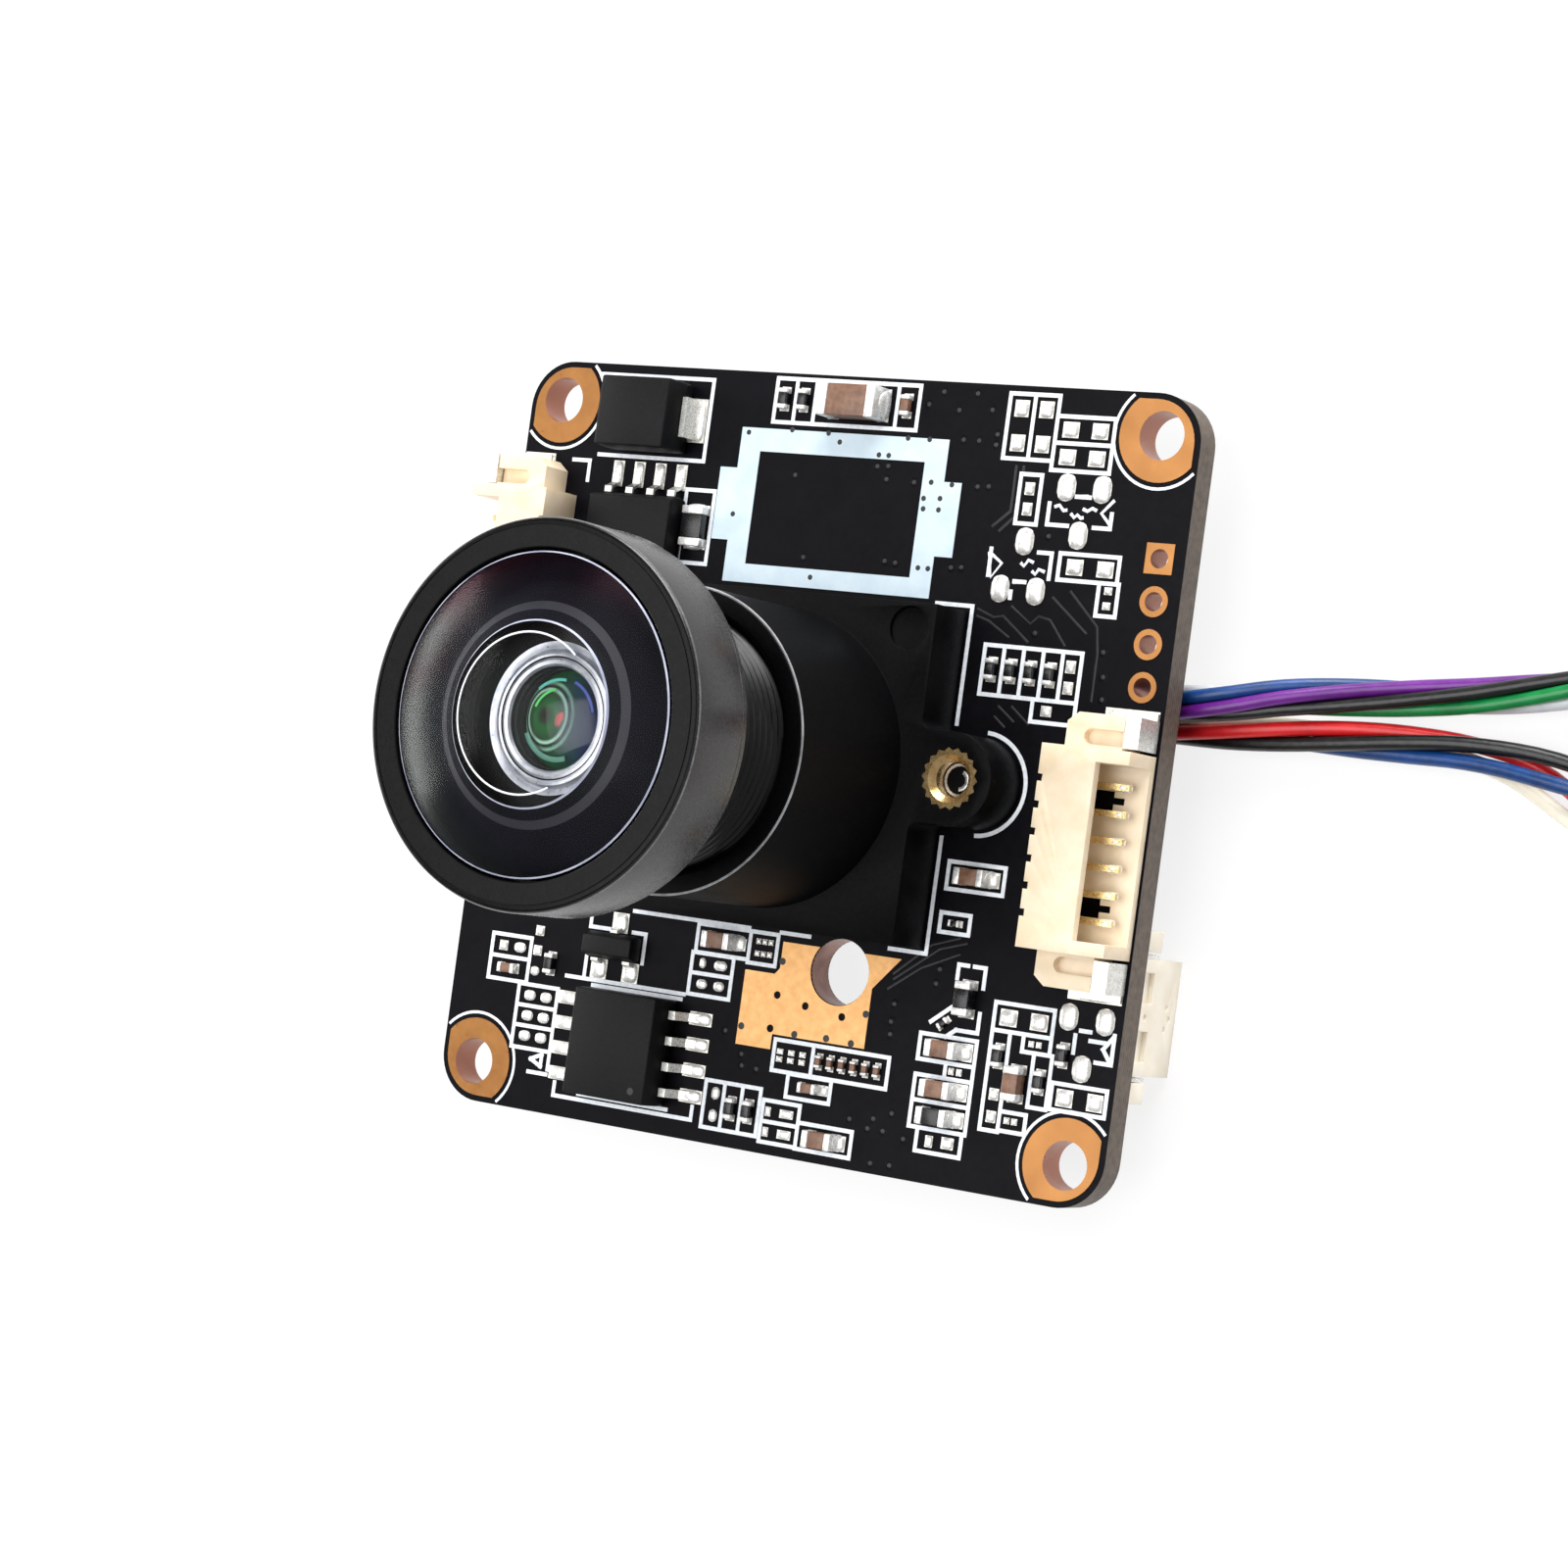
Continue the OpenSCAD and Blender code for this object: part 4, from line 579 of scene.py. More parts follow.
# Moulded chip packages: black with a fine dull grain.
EPOXY = plain("epoxy moulding compound", "0e0e10", "09090b", 0.5, grain=0.16, relief=0.01,
              spread=0.1, Specular_IOR_Level=0.15)
# Fired capacitor bodies: warm brown, lightly mottled. Resistors: glossy black glaze.
CERAMIC = plain("brown capacitor ceramic", "85604a", "694a38", 0.4, grain=0.35, relief=0.006)
GLAZE = plain("black resistor glaze", "141416", "0c0c0e", 0.28, grain=0.3, relief=0.006)
# Pressed ferrite under shellac: dull grey with coarse grain.
FERRITE = plain("ferrite and shellac", "4a4a4d", "37373a", 0.6, grain=0.3, relief=0.02, spread=0.1)
# Drawn nickel can of the crystal: smooth warm grey.
CAN = plain("nickel can", "cfcdc8", "aeaca7", 0.3, 0.85, grain=0.4)


def insulation(name, light, dark):
    """Soft PVC insulation: even colour, satin gloss and slight ripples 2 mm apart."""
    return plain(name + " insulation", light, dark, 0.33, grain=2.0, relief=0.02, spread=0.05,
                 Subsurface_Weight=0.05, Subsurface_Scale=0.0003)


WIRES = {name: insulation(name, light, dark) for name, light, dark in (
    ("blue", "0b4083", "083468"), ("purple", "6a1689", "561072"), ("black", "0f0f11", "09090a"),
    ("green", "02833f", "016e33"), ("grey", "d5d8dc", "bcc1c6"), ("red", "dc1f24", "c4151b"),
    ("cream", "f6efdd", "e8dfc8"),
)}

# Front element: a faint violet reflection over a near-black inside.
FRONT_GLASS = coated_glass(
    "dense optical glass, violet coating", "c07c92", 0.005, 0.4, 0.24, clear=5.5)
SECOND_GLASS = coated_glass("light optical glass, blue coating", "7890ff", 0.012, 0.15)
# The innermost glass is seen deep in the barrel: painted reflections, green, then blue towards its
# rim.
THIRD_GLASS = deep_glass_painted_reflections()

# What the CAD nodes that stay in view are made of.
DRESS = {
    "board_laminate": LAMINATE, "solder_mask": MASK, "corner_rings": GOLD,
    "header_eyelets": GOLD, "ground_pad": GOLD_FIELD, "solder_pads": TIN, "white_print": INK,
    "frame_print": INK_BLUE, "threaded_inserts": BRASS, "holder_screws": STEEL,
    "image_sensor": SILICON, "aperture_stop": INSIDE_BLACK, "rear_retainer": INSIDE_BLACK,
    "front_socket_pins": PIN, "left_socket_pins": PIN, "tail_socket_pins": PIN,
    "socket_nails": NAIL, "header_pin_rows": NAIL, "diode_straps": NAIL, "gull_leads": NAIL,
    "rear_doublet": coated_glass("cemented doublet", "ff3030", 0.08, 0.3),
    "rear_element": coated_glass("rear field glass", "a0b0ff", 0.04, 0.3),
    "sensor_glass": coated_glass("sensor cover glass", "ffffff", 0.05, 0.3),
    "infrared_filter": coated_glass("infrared cut filter", "ff7070", 0.06, 0.3, tint="d4f0fb"),
}
for node_name, finish in DRESS.items():
    nodes[node_name].data.materials.clear()
    nodes[node_name].data.materials.append(finish)


# ---------------------------------------------------------------- wires

def smooth_path(knots, step):
    """Points `step` millimetres apart or less on a soft curve through the knots."""
    ends = [Vector(knots[0]) * 2 - Vector(knots[1])]
    ends += [Vector(k) for k in knots]
    ends.append(ends[-1] * 2 - ends[-2])
    path = []
    for a, b, c, d in zip(ends, ends[1:], ends[2:], ends[3:]):
        count = max(1, math.ceil((c - b).length / step))
        for i in range(count):
            t = i / count
            path.append(0.5 * (
                2 * b + (c - a) * t + (2 * a - 5 * b + 4 * c - d) * t ** 2
                + (3 * b - 3 * c + d - a) * t ** 3))
    path.append(ends[-2])
    return path


def coil_path(centre, start_angle, hand):
    """Four turns: outer low, inner low, inner high, outer high, changing over in a quarter turn."""
    steps = 36
    stations = [(10.9, -4.9), (9.1, -4.9), (9.1, -3.1), (10.9, -3.1)]
    path = []
    for turn, (radius, height) in enumerate(stations):
        before = stations[turn - 1] if turn else (radius, height)
        for i in range(steps):
            share = min(1, 4 * i / steps)
            ease = share * share * (3 - 2 * share)
            r = before[0] + (radius - before[0]) * ease
            z = before[1] + (height - before[1]) * ease
            a = start_angle + hand * TURN * i / steps
            path.append(Vector((centre[0] + r * math.cos(a), centre[1] + r * math.sin(a), z)))
    return path


def path_length(path):
    return sum((b - a).length for a, b in zip(path, path[1:]))


FAN_OUT = 9             # along the bundle, from a plug to where its strands come together
LOOSE_AT, LOOSE_OVER = 41, 4.5      # the place along a bundle where its strands stand apart


def bundle(name, path, colours, near, far, thick, spread, first, pitch, loose=0.0):
    """Strands laid round a centre line and fanned out to their contacts at both ends.
    Returns one mesh with a material for each colour."""
    total = path_length(path)
    frames = []
    side = Vector((0, 1, 0))
    gone = 0.0
    for i, spot in enumerate(path):
        way = (path[min(i + 1, len(path) - 1)] - path[max(i - 1, 0)]).normalized()
        side = (side - way * side.dot(way)).normalized()
        if i:
            gone += (spot - path[i - 1]).length
        frames.append((spot, side.copy(), way.cross(side), gone))
    work = bmesh.new()
    for k, colour in enumerate(colours):
        points = []
        for spot, across, up, gone in frames:
            angle = math.radians(first + k * 360 / len(colours)) + TURN * gone / pitch
            wander = 1 + 0.05 * math.sin(gone * 0.31 + 2.1 * k)
            wander += loose * math.exp(-((gone - LOOSE_AT) / LOOSE_OVER) ** 2)
            reach = math.cos(angle) * across + math.sin(angle) * up
            twisted = spot + spread * wander * reach
            twisted.z = max(twisted.z, FLOOR_Z + thick / 2 + 0.01)
            share = min(gone, total - gone) / FAN_OUT
            if share < 1:
                contact = near[k] if gone < total / 2 else far[k]
                fanned = Vector((spot.x, contact, spot.z))
                twisted = fanned.lerp(twisted, share * share * (3 - 2 * share))
            points.append(twisted)
        strand = sweep(name + "_" + colour, [points], thick, thick, 12, WIRES[colour])
        for face in strand.polygons:
            face.material_index = k
        work.from_mesh(strand)
    mesh = bpy.data.meshes.new(name)
    work.to_mesh(mesh)
    work.free()
    finish_mesh(mesh, 50)
    for colour in colours:
        mesh.materials.append(WIRES[colour])
    return mesh


def lay_cord(kind, route, end, centre, start, hand, near, **look):
    """One bundle, from the plug in the tail socket through its coil to the plug at its far end."""
    plug = softened(kind + "_plug", 0.08, CREAM)
    middle = (len(look["colours"]) - 1) / 2
    far = [end[-1][1] + (middle - i) * PIN_PITCH for i in range(len(look["colours"]))]
    path = smooth_path(route, 1.0) + coil_path(centre, start, hand) + smooth_path(end, 0.8)
    name = kind + "_wires"
    wires = link_object(name, bundle(name, path, near=near, far=far, **look))
    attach(wires, "board")
    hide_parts(kind + "_lead", kind + "_coil", kind + "_lead_end")


lay_cord(
    "network",
    route=[
        (-1.2, 6.9, -2.9), (2, 6.9, -2.9), (5, 6.6, -2.95), (9, 5.85, -3.1), (13, 5.2, -3.25),
        (17, 4.9, -3.3), (20, 5.15, -3.35), (23, 5.7, -3.9), (26, 6.1, -4.6), (29, 6.4, -4.88),
        (32, 6.7, -4.9), (35, 7.2, -4.9), (38.5, 7.9, -4.9), (42, 8.6, -4.9), (45.2, 9, -4.9),
    ],
    end=[(53.8, 9, -3.2), (56, 8.8, -3.5), (58.5, 8.5, -4.3), (61, 8.3, -4.85), (63.5, 8.3, -4.85)],
    centre=(49.5, 20), start=-TURN / 4, hand=1, near=[4.4, 5.65, 6.9, 8.15, 9.4],
    colours=["blue", "purple", "black", "green", "grey"],
    thick=0.66, spread=0.56, first=252, pitch=-38)
lay_cord(
    "power",
    route=[
        (-1.2, 1.3, -2.9), (2, 1.3, -2.9), (5, 1.7, -3.4), (9, 2.9, -4.3), (13, 3.6, -4.8),
        (17, 3.9, -4.9), (20, 4, -4.9), (23, 4.1, -4.9), (26, 4.2, -4.9), (29, 4.25, -4.9),
        (32, 4.15, -4.9), (35, 3.6, -4.9), (38.5, 2.3, -4.9), (42, 0.7, -4.9), (45.5, -0.5, -4.9),
        (49.2, -1, -4.9),
    ],
    end=[(57.8, -1, -3.2), (60, -0.9, -3.5), (62.5, -0.6, -4.3), (65, -0.3, -4.85),
         (67.5, -0.3, -4.85)],
    centre=(53.5, -12), start=TURN / 4, hand=-1, near=[-0.6, 0.65, 1.9, 3.15],
    colours=["red", "black", "blue", "cream"],
    thick=0.72, spread=0.51, first=339, pitch=-32, loose=1.5)


# ---------------------------------------------------------------- board details

def dome_mesh(power=3.6, rings=5, steps=24):
    """A soldered pad's mound, 2 x 2 wide and 1 high: a rounded square that swells to the middle."""
    points = []
    faces = []
    for j in range(rings):
        rise = math.pi / 2 * j / rings
        for i in range(steps):
            a = TURN * i / steps
            c, s = math.cos(a), math.sin(a)
            reach = (abs(c) ** power + abs(s) ** power) ** (-1 / power) * math.cos(rise)
            points.append((reach * c, reach * s, math.sin(rise)))
    points.append((0, 0, 1))
    for j in range(rings - 1):
        for i in range(steps):
            k = (i + 1) % steps
            faces.append((j * steps + i, j * steps + k, (j + 1) * steps + k, (j + 1) * steps + i))
    top = (rings - 1) * steps
    faces += [(top + i, top + (i + 1) % steps, len(points) - 1) for i in range(steps)]
    faces.append(tuple(reversed(range(steps))))
    mesh = bpy.data.meshes.new("dome")
    mesh.from_pydata(points, [], faces)
    return mesh


def mound(x, y, rear, size, turn):
    """A mound's spot on the plating, on the front or upside down on the rear. Its size is in mm."""
    place = (x, y, -BOARD_T - PLATING_T if rear else PLATING_T)
    return place, Vector(size) * MM, (math.pi if rear else 0, 0, -turn if rear else turn)


def solder_mounds():
    """Solder that stands on every tinned pad, on both sides of the board."""
    random.seed(7)
    spots = []
    for centre, half, turn in islands("solder_pads"):
        height = min(0.17, 0.48 * min(half.x, half.y)) * random.uniform(0.85, 1.1)
        size = (half.x * 0.96, half.y * 0.96, height)
        spots.append(mound(centre.x, centre.y, on_rear(centre), size, turn))
    mesh = scatter("solder_mounds", dome_mesh(), spots, SOLDER)
    put("solder_mounds", mesh, SOLDER)


def chip_fillets():
    """Solder that climbs the outer face of each chip's metal end."""
    bodies = [item[0] for node in ("chip_capacitors", "chip_resistors") for item in islands(node)]
    spots = []
    for centre, half, turn in islands("chip_ends"):
        body = min(bodies, key=lambda b: (b - centre).length)
        out = centre - body
        out.z = 0
        out.normalize()
        lengthwise = abs(out.dot(Vector((math.cos(turn), math.sin(turn), 0)))) > 0.7
        depth, width = (half.x, half.y) if lengthwise else (half.y, half.x)
        foot = centre + out * depth
        size = (min(0.16, 0.25 * width), width * 0.9, half.z * 1.3)
        spots.append(mound(foot.x, foot.y, on_rear(centre), size, math.atan2(out.y, out.x)))
    mesh = scatter("chip_fillets", dome_mesh(2.2), spots, SOLDER)
    put("chip_fillets", mesh, SOLDER)


def spots_at(name, places, z, radius, height, finish):
    """Small round spots of one size, flat enough to read as print, plating or a drilled hole."""
    spots = [((x, y, z), (radius * MM, radius * MM, height * MM), (0, 0, 0)) for x, y in places]
    put(name, scatter(name, dome_mesh(2, 3, 16), spots, finish), finish)


def lines_at(name, paths, z, width, height, finish, body="board"):
    """Flat lines at one height."""
    mesh = sweep(name, [[(x, y, z) for x, y in path] for path in paths], width, height, 8, finish)
    put(name, mesh, finish, body)


def circle(x, y, radius, first=0, last=60, steps=60):
    """Points round a circle, from one step to another of so many to the turn."""
    return [(x + radius * math.cos(TURN * i / steps), y + radius * math.sin(TURN * i / steps))
            for i in range(first, last + 1)]


def mask_marks():
    """What shows through the mask and the print: vias, gaps in the frame, traces and signs."""
    tented = [
        (4.4, 17.85), (6.1, 17.65), (7.9, 17.75), (5.15, 18.5), (7, 18.5), (6.55, 16.25),
        (7.4, 16.25), (8.35, 16.6), (8.35, 16.1), (7.65, 14.05), (8.25, 14.1), (6.8, 10.1),
        (7.35, 10.15), (11.8, 11.95), (11.75, 7.35), (15.45, 6.75), (15.6, 5.6), (15.7, 4.55),
        (-2.6, 14), (2.6, 14.1), (4.15, 14.05), (3.1, 10.15), (3.7, 10.1), (-1.5, 10), (2, 14.7),
        (2.6, 14.75), (-2.3, -13.4), (-1.2, -14.4), (-1.1, -14.95), (-0.25, -15), (6.9, -10.85),
        (6.85, -11.7), (6.9, -12.3), (9.1, -8.9), (9, -9.6), (5.3, -16.6), (6.6, -16.4),
        (6.35, -16.9), (7.2, -16.9), (7.55, -16), (8.35, -17.1), (6.75, -18.5), (7.8, -18.45),
    ]
    spots_at("via_lands", tented, -0.005, 0.25, 0.025, MASK)
    spots_at("via_dips", tented, 0.012, 0.12, 0.02, INK_HOLE)
    spots_at("frame_gaps", [
        (-5.6, 15.95), (-0.3, 15.75), (2, 15.25), (2.55, 15.25), (5.1, 14.1), (6.25, 14.05),
        (4.8, 13.3), (4.85, 12.8), (5.7, 13.35), (5.7, 12.8), (-5.9, 11.85), (-0.95, 9.05),
        (5, 9.95), (5.55, 9.95), (-3.1, 16.2), (-1, 16.15), (3.5, 16.15), (4.7, 16.15),
    ], 0.025, 0.15, 0.012, INK_HOLE)
    # Dark spots on the pads: painted shade for the open via holes.
    spots_at("pad_vias", [
        (1.65, -13.05), (3.45, -13), (4.85, -13.05), (5.45, -11.55), (-1.4, -13.05), (0.45, -9.65),
    ], 0.045, 0.2, 0.012, INK_HOLE)
    lines_at("covered_traces", [
        [(8.5, 8.25), (9.45, 7.9), (9.95, 8), (11.45, 6.85)], [(8.5, 7.9), (9.2, 7.7), (10.4, 7)],
        [(10.3, 8.5), (11.45, 7.75), (11.85, 8.15), (12.45, 8), (13.4, 6.85)],
        [(12.4, 9.1), (14.45, 7.5)], [(13.3, 9.45), (14.95, 7.9), (15.15, 6.7), (15.15, 4.4)],
        [(10.3, 3.75), (11.25, 3.05)], [(11, 3.8), (12.05, 3)], [(10.15, 3.25), (10.8, 2.75)],
        [(6.6, -9.45), (8.5, -7.8), (10, -7.3)], [(6.65, -9.7), (8.95, -7.95), (10.4, -7.5)],
        [(6.4, -10.2), (8.1, -8.95), (10.1, -8.05)], [(8.7, 12.2), (9.6, 13), (9.6, 15.2)],
        [(9.1, 12), (10, 12.9), (10, 15.2)],
    ], 0.0, 0.16, 0.045, MASK_RAISED)
    lines_at("small_signs", [
        [(15, 13.85), (14.4, 13.2), (15, 12.6)], [(8.75, 11), (9, 9.8), (9.5, 10.5), (8.75, 11)],
        [(11.9, 13.35), (12.15, 13.45), (12.4, 13.2), (12.6, 13.25)],
        [(12.8, 13.1), (13, 12.9), (13.15, 13.05), (13.35, 12.9), (13.5, 12.95)],
        [(13.4, 13.35), (13.65, 13.25), (13.9, 13.4), (14.15, 13.3)],
        [(12.95, 13.9), (13.6, 13.95)],
        [(10.5, 10.6), (10.7, 10.45), (10.9, 10.75), (11.2, 10.65)],
        [(11.15, 10.25), (11.35, 10.1), (11.5, 10.35), (11.85, 10.25)], [(10.2, 9.65), (10.8, 9.7)],
    ], 0.01, 0.17, 0.04, INK)


def hardware_marks():
    """The screws down in their inserts, under painted shade with a painted highlight, the large
    hole's plating and the tinned pin tips.
    """
    ears = [item[0].xy for item in islands("holder_screws")]
    # Painted shade: a black disc over each screw, where the insert's hole is dark.
    spots_at("screw_recesses", ears, 1.99, 0.74, 0.03, INSIDE_BLACK)
    # A painted highlight: one bright arc in each recess, towards +X.
    lines_at("screw_glints", [
        [(c.x + 0.42 * math.cos(a / 6), c.y + 0.42 * math.sin(a / 6)) for a in range(-9, 8)]
        for c in ears], 2.01, 0.2, 0.05, STEEL)
    lines_at("hole_plating", [circle(3.7, -9.75, 1.6)], -BOARD_T / 2, 0.03, BOARD_T - 0.02,
             COPPER_WALL)
    tips = [((c.x + h.x - 0.36, c.y, 1.04), (0.38 * MM, 0.21 * MM, 0.39 * MM), (0, 0, 0))
            for c, h, _ in islands("front_socket_pins")]
    mesh = scatter("pin_tips", dome_mesh(4), tips, SOLDER)
    put("pin_tips", mesh, SOLDER)


def package_marks():
    """White boxes round the parts on the rear, with a margin that grows with the part, and the
    moulded pin-1 dimple of the memory chip."""
    boxes = []
    for node_name in ("main_processor", "crystal", "power_inductors"):
        for centre, half, turn in islands(node_name):
            along = Vector((math.cos(turn), math.sin(turn))) * (0.28 + 1.05 * half.x)
            across = Vector((-math.sin(turn), math.cos(turn))) * (0.28 + 1.05 * half.y)
            boxes.append([centre.xy + sx * along + sy * across
                          for sx, sy in ((1, 1), (1, -1), (-1, -1), (-1, 1), (1, 1))])
    lines_at("rear_print", boxes, -BOARD_T - 0.015, 0.15, 0.03, INK)
    spots_at("chip_dimple", [(-6.1, -17)], 1.892, 0.26, 0.012, INK_HOLE)


solder_mounds()
chip_fillets()
mask_marks()
hardware_marks()
package_marks()
for node_name, width, finish in (
    ("lens_holder", 0.14, NYLON),
    ("front_socket_housing", 0.07, CREAM), ("left_socket_housing", 0.07, CREAM),
    ("tail_socket_housing", 0.06, CREAM), ("tail_plug", 0.06, CREAM),
    ("right_header_housing", 0.06, CREAM_PAINTED_LIGHT), ("left_header_housing", 0.06, CREAM_PAINTED_LIGHT),
    ("diode_body", 0.12, EPOXY), ("driver_chip", 0.08, EPOXY), ("flash_chip", 0.08, EPOXY),
    ("transistor", 0.06, EPOXY), ("chip_capacitors", 0.04, CERAMIC),
    ("chip_resistors", 0.04, GLAZE), ("chip_ends", 0.05, SOLDER), ("main_processor", 0.08, EPOXY),
    ("crystal", 0.1, CAN), ("power_inductors", 0.15, FERRITE),
):
    softened(node_name, width, finish)


# ---------------------------------------------------------------- lens

def turned(name, profile, finishes, body, stands_for, sharp=30):
    """A turned piece. A point of the profile is (radius, height, finish of the face after it)."""
    open_ended = profile[0][0] == 0
    points, faces = revolve([p[:2] for p in profile], 144, closed=not open_ended)
    mesh = make_mesh(name, points, faces, sharp)
    put(name, mesh, finishes[0], body, (stands_for,))
    for finish in finishes[1:]:
        mesh.materials.append(finish)
    count = len(profile) - open_ended
    for i, face in enumerate(mesh.polygons):
        face.material_index = profile[i % count][2]
    work = bmesh.new()
    work.from_mesh(mesh)
    bmesh.ops.remove_doubles(work, verts=work.verts, dist=WELD)
    work.to_mesh(mesh)
    work.free()


def lens_head():
    """The head turned from bar: flat front face, widest band, groove, collar and threaded boss.
    The cutter left the band glossier than the face, and its rims carry a painted highlight in grey."""
    face, band, rim = 0, 1, 2
    turned("lens_head_turned", [
        # threaded boss and cone
        (5.55, 16.85, face), (7.2, 16.85, face), (7.3, 16.95, band), (7.3, 17.85, face),
        (7.9, 18.15, face), (8.15, 18.22, face),
        # two collars and the groove
        (8.2, 18.28, band), (8.2, 18.62, rim), (8.25, 18.68, face), (8.45, 18.74, face),
        (8.5, 18.79, band), (8.5, 19.02, rim), (8.44, 19.08, face), (8.3, 19.1, face),
        (8.3, 19.3, face),
        # wide band and front face
        (8.62, 19.3, rim), (8.67, 19.36, band), (8.67, 22.68, rim), (8.64, 22.78, band),
        (8.57, 22.86, face), (8.47, 22.9, face), (8.37, 22.9, face), (8.35, 22.86, face),
        (8.3, 22.86, face), (8.28, 22.9, face), (7.36, 22.9, face), (7.31, 22.87, face),
        # seat of the front glass
        (7.29, 22.8, face), (7.29, 21.48, face), (5.2, 21.48, face), (5.2, 20.35, face),
        (5.55, 20.35, face),
    ], [ANODISED, ANODISED_BAND, HEAD_RIM_HIGHLIGHT], "head", "lens_head", 28)


def lens_barrel():
    """The barrel with its focusing thread, a vee wound up the outside."""
    pitch, depth, crest_r = 0.5, 0.27, 5.98
    low, high = 5.2, 16.6
    segments, rows_a_turn = 96, 6
    rows = int((high - low) / pitch * rows_a_turn)
    bore = [
        (5.9, 16.75), (5.5, 16.75), (5.5, 20.2), (4.6, 20.2), (4.6, 18.3), (3.45, 18.3),
        (3.45, 16.5), (3.0, 16.5), (3.0, 15.3), (3.25, 15.3), (3.25, 12.0), (3.85, 12.0),
        (3.85, 6.6), (4.75, 6.6), (4.75, 5.0), (5.65, 5.0),
    ]
    points = []
    for i in range(segments):
        profile = []
        for k in range(rows + 1):
            z = low + k * (high - low) / rows
            vee = abs(2 * ((z / pitch - i / segments) % 1) - 1)
            fade = min(1, (z - low) / pitch, (high - z) / pitch)
            profile.append((crest_r - depth * (1 - min(1, 1.25 * vee)) * fade, z))
        a = TURN * i / segments
        points += [(r * math.cos(a), r * math.sin(a), z) for r, z in profile + bore]
    faces = ring_faces(rows + 1 + len(bore), segments)
    mesh = make_mesh("threaded_barrel", points, faces, 38)
    put("threaded_barrel", mesh, BARREL_BLACK, "barrel", ("lens_barrel",))


def glass_face(radius, apex, start, end, steps=24):
    """Profile points on a spherical face whose highest point is `apex`, between two radii."""
    found = []
    for i in range(steps + 1):
        r = start + (end - start) * i / steps
        found.append((r, apex - radius + math.sqrt(radius ** 2 - r ** 2), 0))
    return found


def lens_glass():
    """The elements that show through the front: coated faces, ground bevels, inked edges.
    This glass bends no light, so each stands where it appears to the eye."""
    coated, ink, ground, navy = 0, 1, 2, 3
    turned("front_glass", glass_face(12.2, 25.12, 0, 7.09)[:-1] + [
        (7.09, 22.85, ground), (7.16, 22.8, ink), (7.16, 21.5, ink), (5.0, 22.51, navy),
        (4.62, 22.71, ink), (4.15, 22.94, ground),
    ] + glass_face(6.6, 24.43, 4.07, 0), [FRONT_GLASS, EDGE_INK, GROUND_GLASS, NAVY_INK],
        "head", "front_element")
    turned("second_glass", glass_face(4.6, 21.6, 0, 2.3)[:-1] + [
        (2.3, 20.98, ink), (2.3, 20.4, ink), (2.2, 20.35, coated),
    ] + glass_face(4.2, 20.95, 2.1, 0), [SECOND_GLASS, EDGE_INK], "barrel", "second_element")
    turned("third_glass", glass_face(3.3, 20.9, 0, 2.2)[:-1] + [
        (2.2, 20.05, ink), (2.2, 18.2, ink), (0, 18.2, ink),
    ], [THIRD_GLASS, EDGE_INK], "barrel", "third_element")


def painted_coating_reflections():
    """Painted reflections of the coatings: a pale arc on the hollow, and colours deep inside.
    Each arc has its radius, height, first and last step of 5 degrees, and width."""
    for name, body, radius, z, first, last, width, code in (
        ("hollow_arc", "head", 3.55, 23.36, 10, 60, 0.09, "e8eaf2"),
        ("teal_glint", "barrel", 1.78, 20.72, 41, 58, 0.24, "3c7866"),
        ("cyan_glint", "barrel", 1.75, 20.74, 17, 27, 0.14, "48b4a4"),
        ("blue_glint", "barrel", 1.8, 20.72, 3, 14, 0.16, "26449a"),
        ("green_glint", "barrel", 1.3, 20.86, 20, 32, 0.12, "4ac85a"),
    ):
        finish = plain(name.replace("_", " ") + " of the coating", code, code, 0.4,
                       grain=2.0, relief=0.0)
        lines_at(name, [circle(0, 0, radius, first, last, 72)], z, width, 0.05, finish,
                 body)
    # A painted reflection: a small red spot deep in the lens.
    red = plain("red glint of the coating", "c02020", "801010", 0.3, grain=0.3, relief=0.0)
    spot = ((0.15, 0, 20.9), (0.2 * MM, 0.34 * MM, 0.03 * MM), (0, 0, -0.4))
    mesh = scatter("red_glint", dome_mesh(2, 3, 16), [spot], red)
    put("red_glint", mesh, red, "barrel")


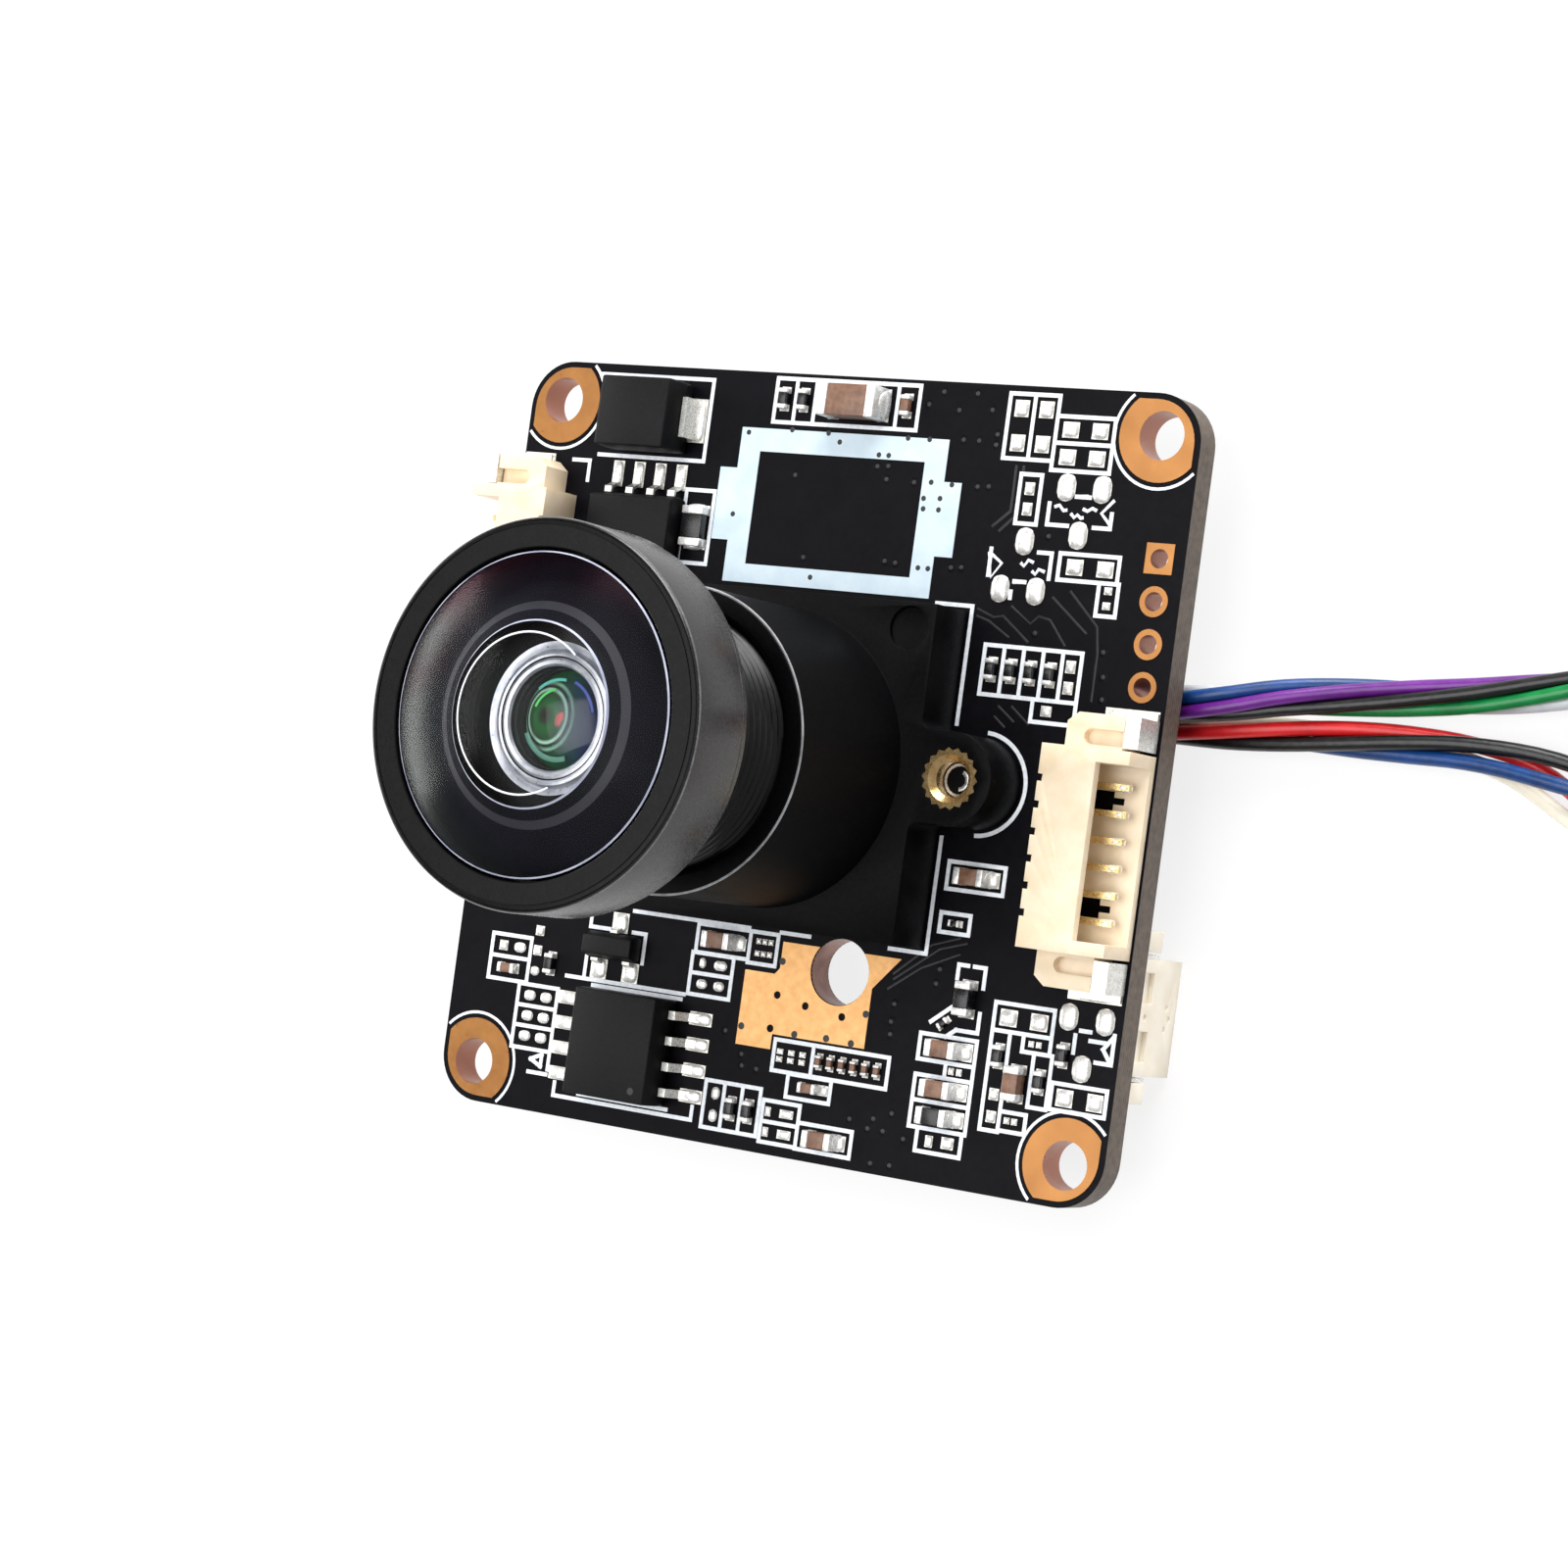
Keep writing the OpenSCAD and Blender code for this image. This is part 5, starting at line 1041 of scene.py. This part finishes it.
def lens_cell():
    """The cell that holds the inner elements: black outside, its lip a bright double ring."""
    black, bright = 0, 1
    turned("lens_cell", [
        (2.31, 18.4, black), (4.52, 18.4, black), (4.52, 21.0, black), (4.3, 21.15, black),
        (3.4, 21.15, bright), (3.12, 21.0, bright), (3.06, 21.12, bright), (2.96, 21.22, bright),
        (2.84, 21.25, bright), (2.74, 21.22, black), (2.7, 21.12, black), (2.67, 21.2, bright),
        (2.56, 21.24, bright), (2.4, 21.2, bright), (2.31, 21.08, black),
    ], [INSIDE_BLACK, BRIGHT_RING], "barrel", "cell_spacer")


lens_head()
lens_barrel()
lens_glass()
painted_coating_reflections()
lens_cell()
# The tube's mouth: a painted highlight, a pale grey line along its outer edge.
lines_at("holder_rim", [circle(0, 0, 7.14, 0, 180, 180)], 11.84, 0.13, 0.06, NYLON_RIM_HIGHLIGHT)


# ---------------------------------------------------------------- set

def set_stage():
    """White sweep, soft key above +Y, a wide overhead and a paler fill from the left."""
    wide = 2500
    corners = [(sx * wide, sy * wide, FLOOR_Z) for sx, sy in ((-1, -1), (1, -1), (1, 1), (-1, 1))]
    floor = make_mesh("floor", corners, [(0, 1, 2, 3)])
    floor.materials.append(floor_white())
    link_object("floor", floor)
    world = bpy.data.worlds.new("studio")
    bpy.context.scene.world = world
    world.use_nodes = True
    tree = world.node_tree
    sky = tree.nodes["Background"]
    sky.inputs["Color"].default_value = srgb("ffffff")
    ray = add_node(tree, "ShaderNodeLightPath")
    level = add_node(tree, "ShaderNodeMapRange", {
        "Value": ray.outputs["Is Camera Ray"], "To Min": 0.36, "To Max": 1.0})
    tree.links.new(level.outputs[0], sky.inputs["Strength"])
    for name, spot, size, watts in (
        ("key", (70, 420, 150), 0.34, 2.8),
        ("top", (-60, -20, 420), 0.4, 1.75),
        ("left", (-400, 40, 30), 0.36, 1.8),
    ):
        data = bpy.data.lights.new(name, "AREA")
        data.shape = "SQUARE"
        data.size = size
        data.energy = watts
        lamp = link_object(name, data)
        lamp.location = Vector(spot) * MM
        lamp.rotation_euler = (-lamp.location).to_track_quat("-Z", "Y").to_euler()
    bpy.context.scene.view_settings.view_transform = "Standard"


set_stage()
